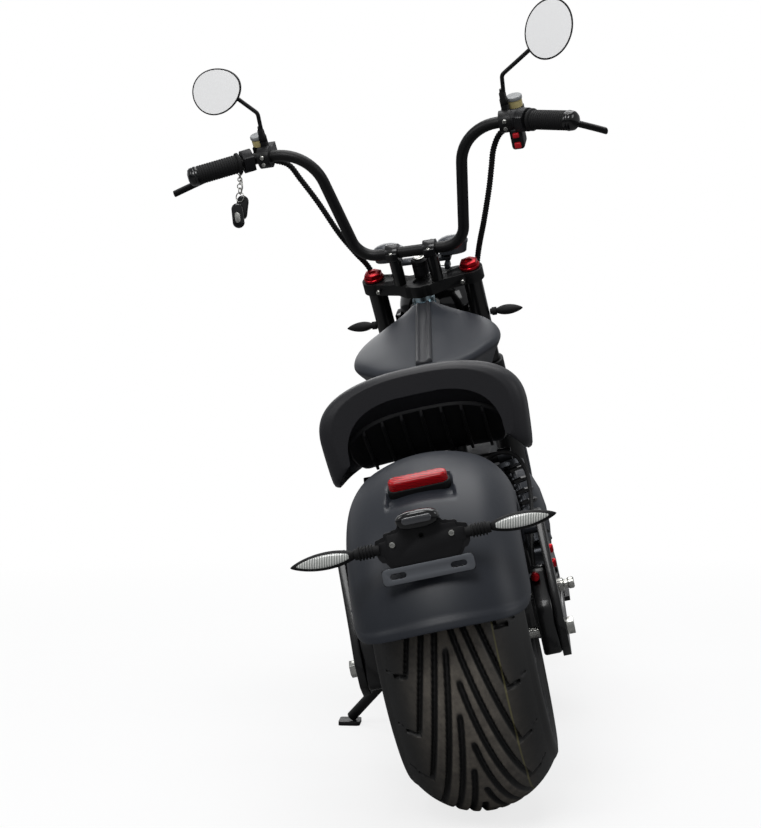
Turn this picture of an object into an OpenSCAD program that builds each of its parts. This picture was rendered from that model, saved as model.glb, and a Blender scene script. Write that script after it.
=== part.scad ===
// Electric chopper scooter, parked on its side stand with the bars turned a little to the right.
// Millimetres. X is to the right, Y is forward, Z is up, and the floor is at Z = 0.
// Every piece is drawn on an upright scooter with its rear axle at Y = 0, and then leaned over.

/* [Stance] */
// Lean to the left on the side stand, degrees
lean = 12.4; // [8:0.2:15]
// Turn of the steering as parked, degrees, negative to the right
steer_turn = -11.8; // [-20:0.2:0]
// Rake of the fork from the vertical, degrees
rake = 28.5; // [24:0.5:32]

/* [Steering head] */
// Distance from the rear axle forward to the top of the steering axis
head_y = 928; // [880:1:980]
// Height of the top of the steering axis on the upright scooter
head_z = 821; // [780:1:860]
// Offset of the fork legs in front of the steering axis
fork_offset = 32; // [26:1:40]
// Spacing of the fork legs from the middle
fork_half = 98.6; // [92:0.2:106]
// Radius of the upper fork tubes
fork_tube_r = 18.5; // [17:0.5:20]
// Radius of the lower fork sliders
slider_r = 25; // [23:0.5:27]
// Thickness of the top yoke
yoke_h = 24; // [18:1:30]
// Length of the head tube
head_len = 150; // [130:1:170]

/* [Wheels] */
// Outer radius of the rear tyre
rear_r = 238; // [230:1:244]
// Section width of the rear tyre
rear_w = 216; // [206:1:220]
// Radius of the rear tread across the tyre
rear_crown = 119; // [112:1:126]
// Radius of the rear rim where the tyre seats
rear_bead_r = 152.4; // [150:0.2:156]
// Outer radius of the front tyre
front_r = 280; // [270:1:290]
// Section width of the front tyre
front_w = 112; // [100:1:120]
// Radius of the front tread across the tyre
front_crown = 58; // [54:1:64]
// Radius of the front rim where the tyre seats
front_bead_r = 203.2; // [200:0.2:206]
// Radius of the rear axle
rear_axle_r = 8; // [7:0.5:9]
// Radius of the front axle
front_axle_r = 7; // [6:0.5:8]

/* [Rear mudguard and lamps] */
// Outer radius of the mudguard over the middle of the tread
guard_r = 288; // [282:1:294]
// Half width of the mudguard
guard_half = 124; // [120:1:128]
// Wall of the mudguard
guard_wall = 4; // [3:0.5:5]
// Angle of the rear lip of the mudguard above the axle, degrees
guard_lip = 17; // [12:1:24]
// Angle that the mudguard covers from its rear lip, degrees
guard_sweep = 136; // [120:1:142]
// Angle of the tail lamp round the mudguard above the axle, degrees
tail_angle = 63; // [58:1:68]
// Half length of the tail lamp lens
tail_half = 42; // [36:1:48]

/* [Tank and seat] */
// Half width of the tank at its widest
tank_half = 139; // [130:1:145]
// Width of the raised strip along the tank
strip_w = 30; // [26:1:34]
// Half width of the seat at its widest
seat_half = 168; // [160:1:174]
// Height of the top of the seat
seat_top = 657; // [650:1:664]
// Thickness of the padded rim at the back of the seat
seat_rim = 38; // [32:1:42]

/* [Frame] */
// Radius of the backbone tube
backbone_r = 22; // [19:0.5:24]
// Radius of the cradle and seat tubes
rail_r = 15; // [13:0.5:17]
// Spacing of the lower frame rails from the middle
rail_half = 100; // [94:1:104]
// Height of the lower frame rails
rail_z = 165; // [158:1:172]
// Distance from the rear axle to the swingarm pivot
pivot_y = 385; // [375:1:395]
// Height of the swingarm pivot
pivot_z = 262; // [256:1:270]
// Outer face of the swingarm plates from the middle
arm_half = 156; // [150:1:160]
// Thickness of the swingarm plates
arm_t = 12; // [8:1:14]

/* [Handlebar] */
// Radius of the handlebar tube
bar_r = 11; // [10:0.5:13]
// Half width across the outer ends of the grips
grip_end = 372; // [360:1:390]
// Height of the clamped middle of the bar above the top of the steering axis
bar_low = 64; // [58:1:72]
// Height of the grips above the top of the steering axis
bar_high = 303; // [285:1:320]
// Radius of the grips
grip_r = 18; // [17:0.5:19]

/* [Side stand] */
// Distance from the rear axle forward to the stand's foot
foot_y = 538; // [520:1:560]
// Distance of the foot out from the middle of the floor line
foot_out = 272; // [262:1:284]
// Radius of the stand's leg
leg_r = 9; // [8:0.5:11]

/* [Hidden] */
$fn = 48;
// Gap left between pieces that only touch
seat_gap = 0.3;
// Radial clearance of a turning fit
run = 0.06;
// Radial clearance of a fixed fit
fit = 0.02;

// Height of the rear axle, so that the leaned tyre touches the floor
axle_z = rear_r - rear_crown + rear_crown / cos(lean);
// Slope of the front axle once the wheel is turned and leaned
axle_slope = cos(steer_turn) * sin(lean) + sin(steer_turn) * sin(rake) * cos(lean);
// Height of the middle of the front wheel above the floor
front_high = (front_r - front_crown) * sqrt(1 - axle_slope * axle_slope) + front_crown;
// The same point on the upright scooter
front_z = (front_high + fork_offset * sin(steer_turn) * sin(lean)) / cos(lean);
// Distance down the fork from the top of the steering axis to the front axle
fork_len = (head_z + fork_offset * cos(steer_turn) * sin(rake) - front_z) / cos(rake);
// Depth of the head tube's top and bottom below the top of the steering axis
head_top = 58;
head_bottom = head_top + head_len;
// Heights along the steering axis
yoke_top = -4;
low_yoke_top = -head_bottom - 8;
slider_top = -380;

// Moves and joins

function unit(v) = v / norm(v);
function to_floor(p) = [p[0] * cos(lean) - p[2] * sin(lean), p[1], p[0] * sin(lean) + p[2] * cos(lean)];
function mirrored(points) = [for (p = points) [-p[0], p[1], p[2]]];

module leaned() { rotate([0, -lean, 0]) children(); }
module steered() {
    leaned() translate([0, head_y, head_z]) rotate([rake, 0, 0]) rotate([0, 0, steer_turn]) children();
}
module both_sides() {
    children();
    mirror([1, 0, 0]) children();
}
// A bar along X between two places
module cross_bar(r, x0, x1) { translate([x0, 0, 0]) rotate([0, 90, 0]) cylinder(h = x1 - x0, r = r); }
// Turns a profile, drawn as radius across and X up, round the X axis
module wheel_turned(angle = 360, start = 0) {
    rotate([0, 90, 0]) rotate([0, 0, start]) rotate_extrude(angle = angle, $fn = 96) children();
}
// Joins closed rings of points, given in order, into one solid
// with each four-sided patch split along one diagonal or the other
module loft(rings, other = false) {
    n = len(rings[0]);
    m = len(rings);
    skin = [for (i = [0:m - 2], j = [0:n - 1])
            let (a = i * n + j, b = (i + 1) * n + j, c = (i + 1) * n + (j + 1) % n, d = i * n + (j + 1) % n)
            each other ? [[a, b, d], [b, c, d]] : [[a, b, c], [a, c, d]]];
    ends = [[for (j = [0:n - 1]) j], [for (j = [n - 1:-1:0]) (m - 1) * n + j]];
    polyhedron([for (r = rings) each r], concat(skin, ends), convexity = 8);
}
// Rounds a corner of a path with an arc
function corner(a, p, b, r, steps) =
    let (u = unit(a - p), v = unit(b - p), half = acos(u * v) / 2, c = p + unit(u + v) * r / sin(half),
         s = p + u * r / tan(half) - c, e = p + v * r / tan(half) - c, w = 180 - 2 * half)
    [for (k = [0:steps]) c + (s * sin((1 - k / steps) * w) + e * sin(k / steps * w)) / sin(w)];
function rounded_path(p, r, steps = 5) =
    concat([p[0]], [for (i = [1:len(p) - 2]) each corner(p[i - 1], p[i], p[i + 1], r, steps)], [p[len(p) - 1]]);
function heading(p, i) = unit((i < len(p) - 1 ? unit(p[i + 1] - p[i]) : [0, 0, 0])
                              + (i > 0 ? unit(p[i] - p[i - 1]) : [0, 0, 0]));
// Sweeps a round tube along a path, with one axis that the path never follows
module tube_along(path, r, sides = 12, aside = [1, 0, 0]) {
    loft([for (i = [0:len(path) - 1])
          let (t = heading(path, i), u = unit(cross(aside, t)), v = cross(t, u))
          [for (k = [0:sides - 1]) path[i] + r * (u * cos(360 * k / sides) + v * sin(360 * k / sides))]]);
}
// Turns Z towards a given heading at a given place
module aimed(place, to, along = [0, 1, 0]) {
    z = unit(to);
    x = unit(cross(along, z));
    y = cross(z, x);
    multmatrix([[x[0], y[0], z[0], place[0]], [x[1], y[1], z[1], place[1]], [x[2], y[2], z[2], place[2]]])
        children();
}
module rod(a, b, r) { aimed(a, b - a, abs(unit(b - a)[1]) > 0.9 ? [1, 0, 0] : [0, 1, 0]) cylinder(h = norm(b - a), r = r); }
function arc_points(c, r, a0, a1, steps) =
    [for (k = [0:steps]) let (a = a0 + (a1 - a0) * k / steps) [c[0] + r * cos(a), c[1] + r * sin(a)]];

// Wheels and tyres

// Half of a tyre's section, as radius and distance from the middle
function tyre_half(r, crown, w, bead_r, bead_half, edge) =
    let (end = [r - crown + crown * cos(edge), crown * sin(edge)], side_r = (end[0] + bead_r) / 2 + 4)
    concat([for (k = [0:5]) let (a = edge * k / 5) [r - crown + crown * cos(a), crown * sin(a)]],
           [[end[0] - 14, (end[1] + w / 2) / 2 + 2.5], [side_r, w / 2], [side_r - 16, w / 2 - 1],
            [bead_r + 6, bead_half + 3], [bead_r, bead_half]]);
module tyre(r, crown, w, bead_r, bead_half, edge, wall) {
    half = tyre_half(r, crown, w, bead_r, bead_half, edge);
    inner = [[bead_r, bead_half - 10], [bead_r + 16, w / 2 - wall - 5], [r - crown * (1 - cos(edge)) - wall - 12, w / 2 - wall - 2],
             [r - wall - 4, crown * sin(edge) * 0.55]];
    side = concat(half, inner);
    rotate([0, 90, 0]) rotate_extrude($fn = 96)
        polygon(concat(side, [for (i = [len(side) - 1:-1:1]) [side[i][0], -side[i][1]]]));
}
module rear_tyre() {
    color("#1d1d1e") leaned() translate([0, 0, axle_z])
        tyre(rear_r, rear_crown, rear_w, rear_bead_r, rear_w / 2 - 12, 56, 16);
}
module front_tyre() {
    color("#1d1d1e") steered() translate([0, fork_offset, -fork_len])
        tyre(front_r, front_crown, front_w, front_bead_r, front_w / 2 - 16, 62, 12);
}
// A rim's barrel with its flanges, as a turned ring
module rim_barrel(bead_r, half, flange, wall) {
    rotate([0, 90, 0]) rotate_extrude($fn = 96)
        polygon([[bead_r - wall - 8, -half + 14], [bead_r - wall - 8, half - 14], [bead_r - wall, half], [bead_r + flange, half + 6],
                 [bead_r + flange, half + 1.5], [bead_r - seat_gap, half - 1], [bead_r - seat_gap, half - 12],
                 [bead_r - 7, half - 18], [bead_r - 7, -half + 18], [bead_r - seat_gap, -half + 12],
                 [bead_r - seat_gap, -half + 1], [bead_r + flange, -half - 1.5], [bead_r + flange, -half - 6],
                 [bead_r - wall, -half]]);
}
motor_half = 58;
module rear_rim() {
    half = rear_w / 2 - 12;
    color("#26272a") leaned() translate([0, 0, axle_z]) difference() {
        union() {
            rim_barrel(rear_bead_r, half, 0.01, 6);
            wheel_turned() polygon([[20, -motor_half - 12], [34, -motor_half - 12], [40, -motor_half], [126, -motor_half + 4],
                                    [rear_bead_r - 14, -26], [rear_bead_r - 10, -26], [rear_bead_r - 10, 26],
                                    [rear_bead_r - 14, 26], [126, motor_half - 4], [40, motor_half], [34, motor_half + 12], [20, motor_half + 12]]);
            cross_bar(22, -motor_half - 12, motor_half + 12);
        }
        cross_bar(rear_axle_r + 5 + run, -motor_half - 20, motor_half + 20);
    }
}
spokes = 9;
module front_rim() {
    half = front_w / 2 - 16;
    color("#26272a") steered() translate([0, fork_offset, -fork_len]) difference() {
        union() {
            rim_barrel(front_bead_r, half, 0.01, 5);
            cross_bar(30, -32, 32);
            for (k = [0:spokes - 1]) rotate([360 * k / spokes, 0, 0]) translate([-10, -8, 27])
                linear_extrude(height = front_bead_r - 39) polygon([[2, 0], [18, 0], [20, 3], [20, 13], [18, 16], [2, 16], [0, 13], [0, 3]]);
        }
        cross_bar(front_axle_r + run, -40, 40);
    }
}
disc_t = 4;
// A brake disc with two rings of vent holes
module brake_disc(r, inner, at) {
    holes = 18;
    translate([at, 0, 0]) difference() {
        cross_bar(r, 0, disc_t);
        cross_bar(inner, -1, disc_t + 1);
        for (k = [0:holes - 1], ring = [0, 1]) rotate([360 * (k + ring / 2) / holes, 0, 0])
            translate([0, r - 12 - 14 * ring, 0]) cross_bar(4, -1, disc_t + 1);
    }
}
rear_disc_r = 90;
rear_disc_at = motor_half + 12 + seat_gap;
module rear_disc() {
    color("silver") leaned() translate([0, 0, axle_z]) brake_disc(rear_disc_r, 17, rear_disc_at);
}
front_disc_r = 130;
front_disc_at = 32 + seat_gap;
module front_disc() {
    color("silver") steered() translate([0, fork_offset, -fork_len]) brake_disc(front_disc_r, 16, -front_disc_at - disc_t);
}

// Frame

back_start = [0, head_y + 54, head_z - 122];
back_end = [0, 500, head_z - 293];
// Tubes of the right half of the frame: radius, bend radius, then the corners of its path
down_tube = [[24, head_y + 74, head_z - 168], [58, head_y + 28, 540], [rail_half, 880, rail_z], [rail_half, 430, rail_z],
             [rail_half, 392, 330], [62, 300, 470]];
seat_rail = [[62, 222, 462], [62, 330, 468], [8, 510, back_end[2]]];
module frame() {
    color("#17181a") leaned() difference() {
        union() {
            tube_along([back_start, back_end], backbone_r, 20);
            both_sides() {
                tube_along(rounded_path(down_tube, 60, 4), rail_r, 14);
                tube_along(rounded_path(seat_rail, 50, 3), rail_r - 2, 14);
                translate([0, pivot_y, pivot_z]) cross_bar(24, rail_half - 16, arm_half - arm_t - 1);
            }
            for (y = [560, 820]) translate([-rail_half, y - 12, rail_z - 8]) cube([2 * rail_half, 24, box_z[0] - seat_gap - rail_z + 8]);
            translate([-62, 298, 462]) cube([124, 26, 12]);
            both_sides() {
                translate([45, 312, 470]) cylinder(h = 43.8, r = 9);
                translate([0, shock_high[1], shock_high[2]]) cross_bar(9, 62, shock_high[0] - 11 - seat_gap);
            }
            translate([-rail_half, pivot_y - 6, pivot_z + 40]) cube([2 * rail_half, 18, 30]);
        }
        translate([0, head_y, head_z]) rotate([rake, 0, 0]) translate([0, 0, -head_bottom]) {
            translate([0, 0, -30]) cylinder(h = head_len + 60, r = head_r + fit);
            translate([0, 0, -20]) cylinder(h = 34 + fit, r = head_r + 4 + fit);
            translate([0, 0, head_len - 14 - fit]) cylinder(h = 34, r = head_r + 4 + fit);
        }
        translate([0, pivot_y, pivot_z]) cross_bar(12 + fit, -arm_half, arm_half);
    }
}
head_r = 26;
stem_r = 13;
module head_tube() {
    color("#17181a") leaned() translate([0, head_y, head_z]) rotate([rake, 0, 0]) translate([0, 0, -head_bottom])
        difference() {
            union() {
                cylinder(h = head_len, r = head_r);
                cylinder(h = 14, r = head_r + 4);
                translate([0, 0, head_len - 14]) cylinder(h = 14, r = head_r + 4);
            }
            translate([0, 0, -1]) cylinder(h = head_len + 2, r = stem_r + run);
        }
}
box_y = [448, 850];
box_z = [rail_z + 10, 486];
module battery_box() {
    half = 84;
    color("#202124") leaned() translate([-half, box_y[0], box_z[0]])
        rotate([90, 0, 90]) linear_extrude(height = 2 * half)
            polygon([[0, 0], [402, 0], [402, 240], [380, box_z[1] - box_z[0]], [0, box_z[1] - box_z[0]]]);
}
// A bulged panel on each side of the battery: distance forward, half height, how far it stands out
cover_rows = [[430, 30, 100], [445, 78, 134], [500, 96, 152], [600, 100, 156], [690, 92, 150], [745, 60, 128], [760, 30, 100]];
module side_covers() {
    mid = 345;
    color("#2c2d30") leaned() both_sides() loft([for (c = cover_rows) [for (k = [0:9]) let (a = 90 - 20 * k)
        [84 + seat_gap + (c[2] - 84) * pow(max(cos(a), 0), 0.5), c[0], mid + c[1] * sin(a)]]]);
}
module foot_boards() {
    color("#1b1c1e") leaned() both_sides() translate([0, 640, rail_z + rail_r + seat_gap]) {
        translate([rail_half - 6, 0, 0]) cube([68, 186, 8]);
        for (i = [0:5]) translate([rail_half + 4, 14 + 30 * i, 8]) cube([50, 8, 4]);
    }
}

// Tank, strip and seat

tank_low = backbone_r + seat_gap;
back_slope = (back_start[2] - back_end[2]) / (back_start[1] - back_end[1]);
function back_top(y) = back_end[2] + (y - back_end[1]) * back_slope + tank_low * sqrt(1 + back_slope * back_slope);
function tank_top(y) = head_z - 162 + (y - 546) * 113 / 358;
// Tank sections: distance forward, half width, shoulder below the top, lowest edge below the shoulder, width there
tank_rows = [[536, 36, 10, 16, 22], [548, 58, 12, 30, 34], [580, 88, 16, 52, 46], [620, 114, 19, 66, 62], [660, 132, 21, 74, 82],
             [703, 139, 23, 80, 100], [750, 136, 25, 82, 108], [800, 122, 28, 82, 98], [845, 98, 32, 74, 74], [880, 70, 34, 58, 50],
             [905, 40, 26, 36, 34]];
module tank() {
    color("#2e2f32") leaned() loft([for (t = tank_rows)
        let (y = t[0], w = t[1] * tank_half / 139, top = tank_top(y), s = top - t[2], low = s - t[3], wl = t[4],
             under = max(back_top(y), low + 4), half = min(strip_w / 2 + 2, w * 0.6))
        let (side = [[half, top], [half + (w - half) * 0.35, top - t[2] * 0.12], [half + (w - half) * 0.68, top - t[2] * 0.38],
                     [w * 0.93, s + t[2] * 0.28], [w, s - t[3] * 0.06], [w * 0.97, s - t[3] * 0.2],
                     [(w + wl) / 2, s - t[3] * 0.5], [wl, low + t[3] * 0.12], [wl - 8, low], [min(30, wl - 10), low], [min(25, wl - 12), under]])
        concat([for (q = side) [q[0], y, q[1]]], [for (i = [len(side) - 1:-1:0]) [-side[i][0], y, side[i][1]]])]);
}
// The strip's section: distance from its middle as a share of its half width, then height
strip_section = [[1, 0], [1, 3.5], [0.86, 7.5], [0.62, 8], [0.42, 5.2], [0, 4], [-0.42, 5.2], [-0.62, 8], [-0.86, 7.5], [-1, 3.5], [-1, 0]];
module tank_strip() {
    color("#3a3b3e") leaned() loft([for (y = [head_y - 33, 700, tank_rows[0][0] + 4])
        [for (q = strip_section) [q[0] * strip_w / 2, y, tank_top(y) + seat_gap + q[1]]]]);
}
// Seat sections: distance forward, half width, top, widest height, lowest height, height of the hollow underside
seat_rows = [[176, 140, 646, 566, 526, 614], [186, 157, 654, 566, 508, 606], [204, 164, 657, 568, 498, 592], [234, 166, 657, 566, 494, 566],
             [270, 163, 652, 562, 497, 540], [310, 155, 643, 556, 503, 520], [360, 141, 632, 552, 510, 514], [415, 122, 625, 556, 520, 522],
             [465, 98, 622, 566, 534, 536], [505, 76, 620, 578, 552, 554], [528, 52, 610, 588, 572, 574]];
// The hollow under the seat is an arch
function arch(wide, low, high, turn) = [wide * pow(max(cos(turn), 0), 0.7), low + (high - low) * pow(sin(turn), 0.8)];
function seat_ring(s) =
    let (w = s[1] * seat_half / 166, top = s[2] + seat_top - 657, mid = s[3], low = s[4], hollow = max(s[5], low + 1), wall = min(seat_rim * 0.45, w * 0.4))
    let (side = concat([for (k = [0:8]) let (a = 90 - 90 * k / 8) [w * pow(cos(a), 0.78), mid + (top - mid) * pow(sin(a), 0.72)]],
                       [[w * 0.985, mid - (mid - low) * 0.5], [w * 0.955, low + 5], [w * 0.93, low]],
                       [for (k = [0:5]) arch(w - wall, low + 1, hollow + 2, 18 * k)]))
    concat([for (q = side) [q[0], s[0], q[1]]], [for (i = [len(side) - 2:-1:1]) [-side[i][0], s[0], side[i][1]]]);
module seat() {
    color("#232427") leaned() loft([for (s = seat_rows) seat_ring(s)]);
}
// The moulded base follows the hollow underside
pan_rows = [for (i = [2:8]) seat_rows[i]];
pan_t = 6;
function pan_ring(s) =
    let (w = s[1] * seat_half / 166, low = s[4], hollow = max(s[5], low + 1), wall = min(seat_rim * 0.45, w * 0.4), g = seat_gap)
    let (side = concat([for (k = [5:-1:2]) arch(w - wall, low + 1, hollow + 2, 18 * k) - [k < 5 ? g : 0, g]],
                       [for (k = [2:5]) arch(w - wall, low + 1, hollow + 2, 18 * k) - [k < 5 ? pan_t : 0, pan_t]]))
    concat([for (q = side) [q[0], s[0], q[1]]], [for (i = [len(side) - 2:-1:1]) [-side[i][0], s[0], side[i][1]]]);
module seat_pan() {
    color("#141416") leaned() loft([for (s = pan_rows) pan_ring(s)], true);
}

// Swingarm, shocks and rear axle

arm_outline = [[-34, -24], [-38, 14], [-18, 60], [16, 158], [40, 172], [70, 160], [150, 108], [300, 84], [pivot_y + 26, 50],
               [pivot_y + 34, 20], [pivot_y + 24, -8], [pivot_y, -18], [200, -34], [30, -38], [-16, -40]];
arm_window = [[84, 16], [86, 92], [94, 96], [150, 74], [300, 54], [345, 40], [345, 12], [200, 0], [100, -6]];
module arm_plate() {
    rotate([90, 0, 90]) linear_extrude(height = arm_t) difference() {
        polygon(arm_outline);
        polygon(arm_window);
    }
}
module swingarm() {
    color("#17181a") leaned() translate([0, 0, axle_z]) difference() {
        union() {
            both_sides() translate([arm_half - arm_t, 0, 0]) arm_plate();
            translate([0, pivot_y, pivot_z - axle_z]) cross_bar(12, -arm_half + 1, arm_half - 1);
            translate([0, 318, 20]) cross_bar(18, -arm_half + 1, arm_half - 1);
        }
        cross_bar(rear_axle_r + fit, -arm_half - 5, arm_half + 5);
    }
}
shock_low = [arm_half - 20, 262, 322];
shock_high = [112, 312, 484];
shock_spring_r = 22;
module shocks() {
    color("#8d9094") leaned() both_sides() {
        rod(shock_low + [0, 0, 14], shock_high - [0, 0, 14], 8);
        aimed(shock_low, shock_high - shock_low) {
            translate([0, 0, 16]) cylinder(h = 8, r = shock_spring_r + 4);
            translate([0, 0, 24]) cylinder(h = 52, r = 15);
            translate([0, 0, norm(shock_high - shock_low) - 24]) cylinder(h = 8, r = shock_spring_r + 4);
        }
        translate([0, shock_low[1], shock_low[2]]) cross_bar(14, shock_low[0] - 11, arm_half - arm_t - seat_gap);
        translate([0, shock_high[1], shock_high[2]]) cross_bar(12, shock_high[0] - 11, shock_high[0] + 11);
    }
}
spring_turns = 6;
module shock_springs() {
    long = norm(shock_high - shock_low) - 24 - 24 - 2 * (4 + seat_gap);
    per = 12;
    color("#202124") leaned() both_sides() aimed(shock_low, shock_high - shock_low) translate([0, 0, 24 + 4 + seat_gap])
        tube_along([for (k = [0:spring_turns * per]) let (a = 360 * k / per) [shock_spring_r * cos(a), shock_spring_r * sin(a), long * k / (spring_turns * per)]],
                   4, 6, [0, 0, 1]);
}
module rear_axle() {
    color("silver") leaned() translate([0, 0, axle_z]) {
        cross_bar(rear_axle_r, -arm_half - 12, arm_half + 12);
        both_sides() {
            cross_bar(13, motor_half + 12 + seat_gap, motor_half + 16);
            translate([0, -18, -10]) translate([arm_half + seat_gap, 0, 0]) cube([3, 40, 20]);
            translate([arm_half + 3 + seat_gap, 0, 0]) rotate([0, 90, 0]) cylinder(h = 9, r = 13, $fn = 6);
        }
    }
}
caliper_turn = -35;
module rear_caliper() {
    out = rear_disc_at + disc_t;
    color("#a01820") leaned() translate([0, 0, axle_z]) rotate([caliper_turn, 0, 0]) {
        translate([out + 2, -26, 62]) cube([26, 52, 50]);
        translate([rear_disc_at - 9.5, -20, 64]) cube([7.5, 40, 48]);
        translate([rear_disc_at - 9.5, -20, rear_disc_r + 5]) cube([38, 40, 12]);
        translate([0, 0, 88]) cross_bar(7, out + 20, arm_half - arm_t - seat_gap);
    }
}

// Mudguard and what it carries

// Outer line of the mudguard's section, as radius and distance from the middle
guard_crown = 300;
guard_corner = 74;
guard_deep = 96;
function guard_line(less) =
    let (crown = guard_crown - less, turn = guard_corner - less, d = crown - turn, cx = guard_half - guard_corner, ang = asin(cx / d))
    concat([for (k = [0:4]) [guard_r - guard_crown + crown * cos(ang * k / 5), crown * sin(ang * k / 5)]],
           arc_points([guard_r - guard_crown + sqrt(d * d - cx * cx), cx], turn, ang, 90, 6), [[guard_r - guard_deep, guard_half - less]]);
module rear_fender() {
    outer = guard_line(0);
    inner = guard_line(guard_wall);
    half = concat(outer, [for (i = [len(inner) - 1:-1:0]) inner[i]]);
    color("#2e2f32") leaned() translate([0, 0, axle_z]) rotate([180 - guard_lip - guard_sweep, 0, 0])
        both_sides() rotate([0, 90, 0]) rotate([0, 0, 90]) rotate_extrude(angle = guard_sweep, $fn = 96) polygon(half);
    color("#2e2f32") leaned() translate([0, 0, axle_z]) both_sides() {
        translate([guard_half - guard_wall, 30, 130]) cube([guard_wall, 24, guard_r - guard_deep + 15 - 130]);
        translate([0, 42, 146]) cross_bar(8, guard_half - 1, arm_half - arm_t - seat_gap);
    }
}
// Places things on the mudguard: X across, Y up the curve, Z out of it
module on_guard(angle, out = 0) {
    leaned() translate([0, 0, axle_z]) rotate([90 - angle, 0, 0]) translate([0, 0, guard_r + out]) children();
}
module pill(half, r, h) {
    hull() for (s = [-1, 1]) translate([s * (half - r), 0, 0]) cylinder(h = h, r = r, $fn = 32);
}
module tail_light() {
    color("#b01414") difference() {
        on_guard(tail_angle, -6) pill(tail_half, 10, 20);
        leaned() translate([0, 0, axle_z]) cross_bar(guard_r + 2 * seat_gap, -100, 100, $fn = 96);
    }
}
plate_z = 433;
// The plate stands clear of the mudguard behind its height
plate_y = -51.48 - sqrt(guard_r * guard_r - (plate_z - axle_z) * (plate_z - axle_z));
// The bracket's plate stands upright across the scooter
module plate_bracket() {
    body = [[-34, -30], [34, -30], [40, -24], [58, -18], [62, -12], [62, 12], [48, 16], [36, 22], [-36, 22], [-48, 16], [-62, 12], [-62, -12], [-58, -18], [-40, -24]];
    bar = [[-60, -50], [60, -50], [62, -48], [62, -30], [60, -28], [-60, -28], [-62, -30], [-62, -48]];
    color("#26272a") leaned() translate([0, plate_y, plate_z]) {
        difference() {
            union() {
                rotate([90, 0, 0]) linear_extrude(height = 4) union() {
                    polygon(body);
                    polygon(bar);
                }
                translate([-22, -0.5, -20]) cube([44, 70, 34]);
            }
            translate([0, -plate_y, axle_z - plate_z]) cross_bar(guard_r + seat_gap, -60, 60);
            both_sides() for (x = [34:7:48]) translate([x, 1, -39]) rotate([90, 0, 0]) cylinder(h = 6, r = 4);
            translate([0, 8, 8]) rotate([90, 0, 0]) cylinder(h = 14, r = 3);
        }
    }
}
module plate_lamp() {
    color("#101012") leaned() translate([0, plate_y - 10, plate_z + 22 + seat_gap]) {
        translate([-22, -4, 0]) cube([44, 26, 14]);
        hull() for (s = [-1, 1]) translate([s * 14, -4, 10]) rotate([-90, 0, 0]) cylinder(h = 26, r = 9, $fn = 32);
    }
}
// A leaf-shaped lamp pod on a ribbed stalk, pointing along X
module indicator_pod(long) {
    rotate([0, 90, 0]) loft([for (q = [[0, 5, 6], [10, 9, 11], [26, 12, 15], [42, 12, 14], [58, 9, 9], [70, 5, 4], [76, 2, 1.5]])
        [for (k = [0:11]) let (a = 30 * k) [q[1] * cos(a), q[2] * sin(a), q[0] * long / 76]]]);
}
module rear_indicators() {
    color("#17181a") leaned() translate([0, plate_y - 2, plate_z]) both_sides() {
        cross_bar(7, 62 + seat_gap, 92);
        for (x = [68, 75, 82]) cross_bar(8.5, x, x + 3);
        translate([92, 0, 0]) indicator_pod(94);
    }
}
module rear_indicator_lenses() {
    color("white") leaned() translate([0, plate_y - 17.3, plate_z]) both_sides()
        translate([108, 0, 0]) rotate([0, 90, 0]) loft([for (q = [[0, 1, 4], [12, 2, 8], [36, 2, 8], [52, 1, 3]])
            [for (k = [0:7]) let (a = 45 * k) [q[2] * cos(a), -2 + q[1] * sin(a), q[0]]]]);
}

// Brake hose past the right shock, from the caliper up to the frame
hose_x = arm_half - arm_t - 2;
hose_points = [[hose_x - 16, 55.9, 318.4], [hose_x - 14, 78, 346], [hose_x - 9, 112, 374], [hose_x - 4, 156, 396], [hose_x, 200, 424],
               [hose_x, 230, 458], [hose_x - 14, 252, 486], [hose_x - 42, 270, 492], [rail_r + 60, 290, 479.6]];
module rear_brake_hose() {
    color("#111112") leaned() tube_along(hose_points, 3.5, 8);
}

// Side stand, drawn on the floor's own axes

foot_place = [-foot_out, foot_y, 0];
pivot_bike = [-rail_half - rail_r - 20, 470, rail_z];
stand_pivot = to_floor(pivot_bike);
leg_down = unit(foot_place + [0, 0, 10] - stand_pivot);
leg_back = unit([-0.22, -0.97, -0.06]);
hinge_axis = unit(cross(leg_down, leg_back));
leg_len = norm(foot_place + [0, 0, 10] - stand_pivot);
module stand_bracket() {
    color("#17181a") difference() {
        union() {
            aimed(stand_pivot, hinge_axis) {
                translate([0, 0, 5 + seat_gap]) cylinder(h = 7, r = 15);
                translate([0, 0, -12]) cylinder(h = 20, r = 5);
                translate([0, 0, -12]) cylinder(h = 12 - 5 - seat_gap, r = 9);
            }
            leaned() translate([-rail_half, pivot_bike[1] + 12, rail_z]) rotate([-90, 0, 0]) cylinder(h = 30, r = rail_r + 3);
            rod(stand_pivot - hinge_axis * 12, to_floor([-rail_half - rail_r + 2, pivot_bike[1] + 20, rail_z - 6]), 6);
        }
        leaned() translate([-rail_half, pivot_bike[1] - 40, rail_z]) rotate([-90, 0, 0]) cylinder(h = 120, r = rail_r + seat_gap);
    }
}
module side_stand() {
    color("#17181a") {
        difference() {
            union() {
                aimed(stand_pivot, hinge_axis, cross(hinge_axis, leg_down)) {
                    translate([0, 0, -5]) cylinder(h = 10, r = 14);
                    translate([8, -10, -5]) cube([30, 20, 10]);
                }
                rod(stand_pivot + leg_down * 30, stand_pivot + leg_down * (leg_len - 4), leg_r);
            }
            aimed(stand_pivot, hinge_axis) translate([0, 0, -20]) cylinder(h = 40, r = 5 + run);
        }
        translate(foot_place) hull() for (p = [[-14, -16], [12, -16], [-14, 16], [12, 16]]) translate([p[0], p[1], 0]) cylinder(h = 7, r = 6, $fn = 20);
    }
}

// Steering head, yokes and fork

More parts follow.
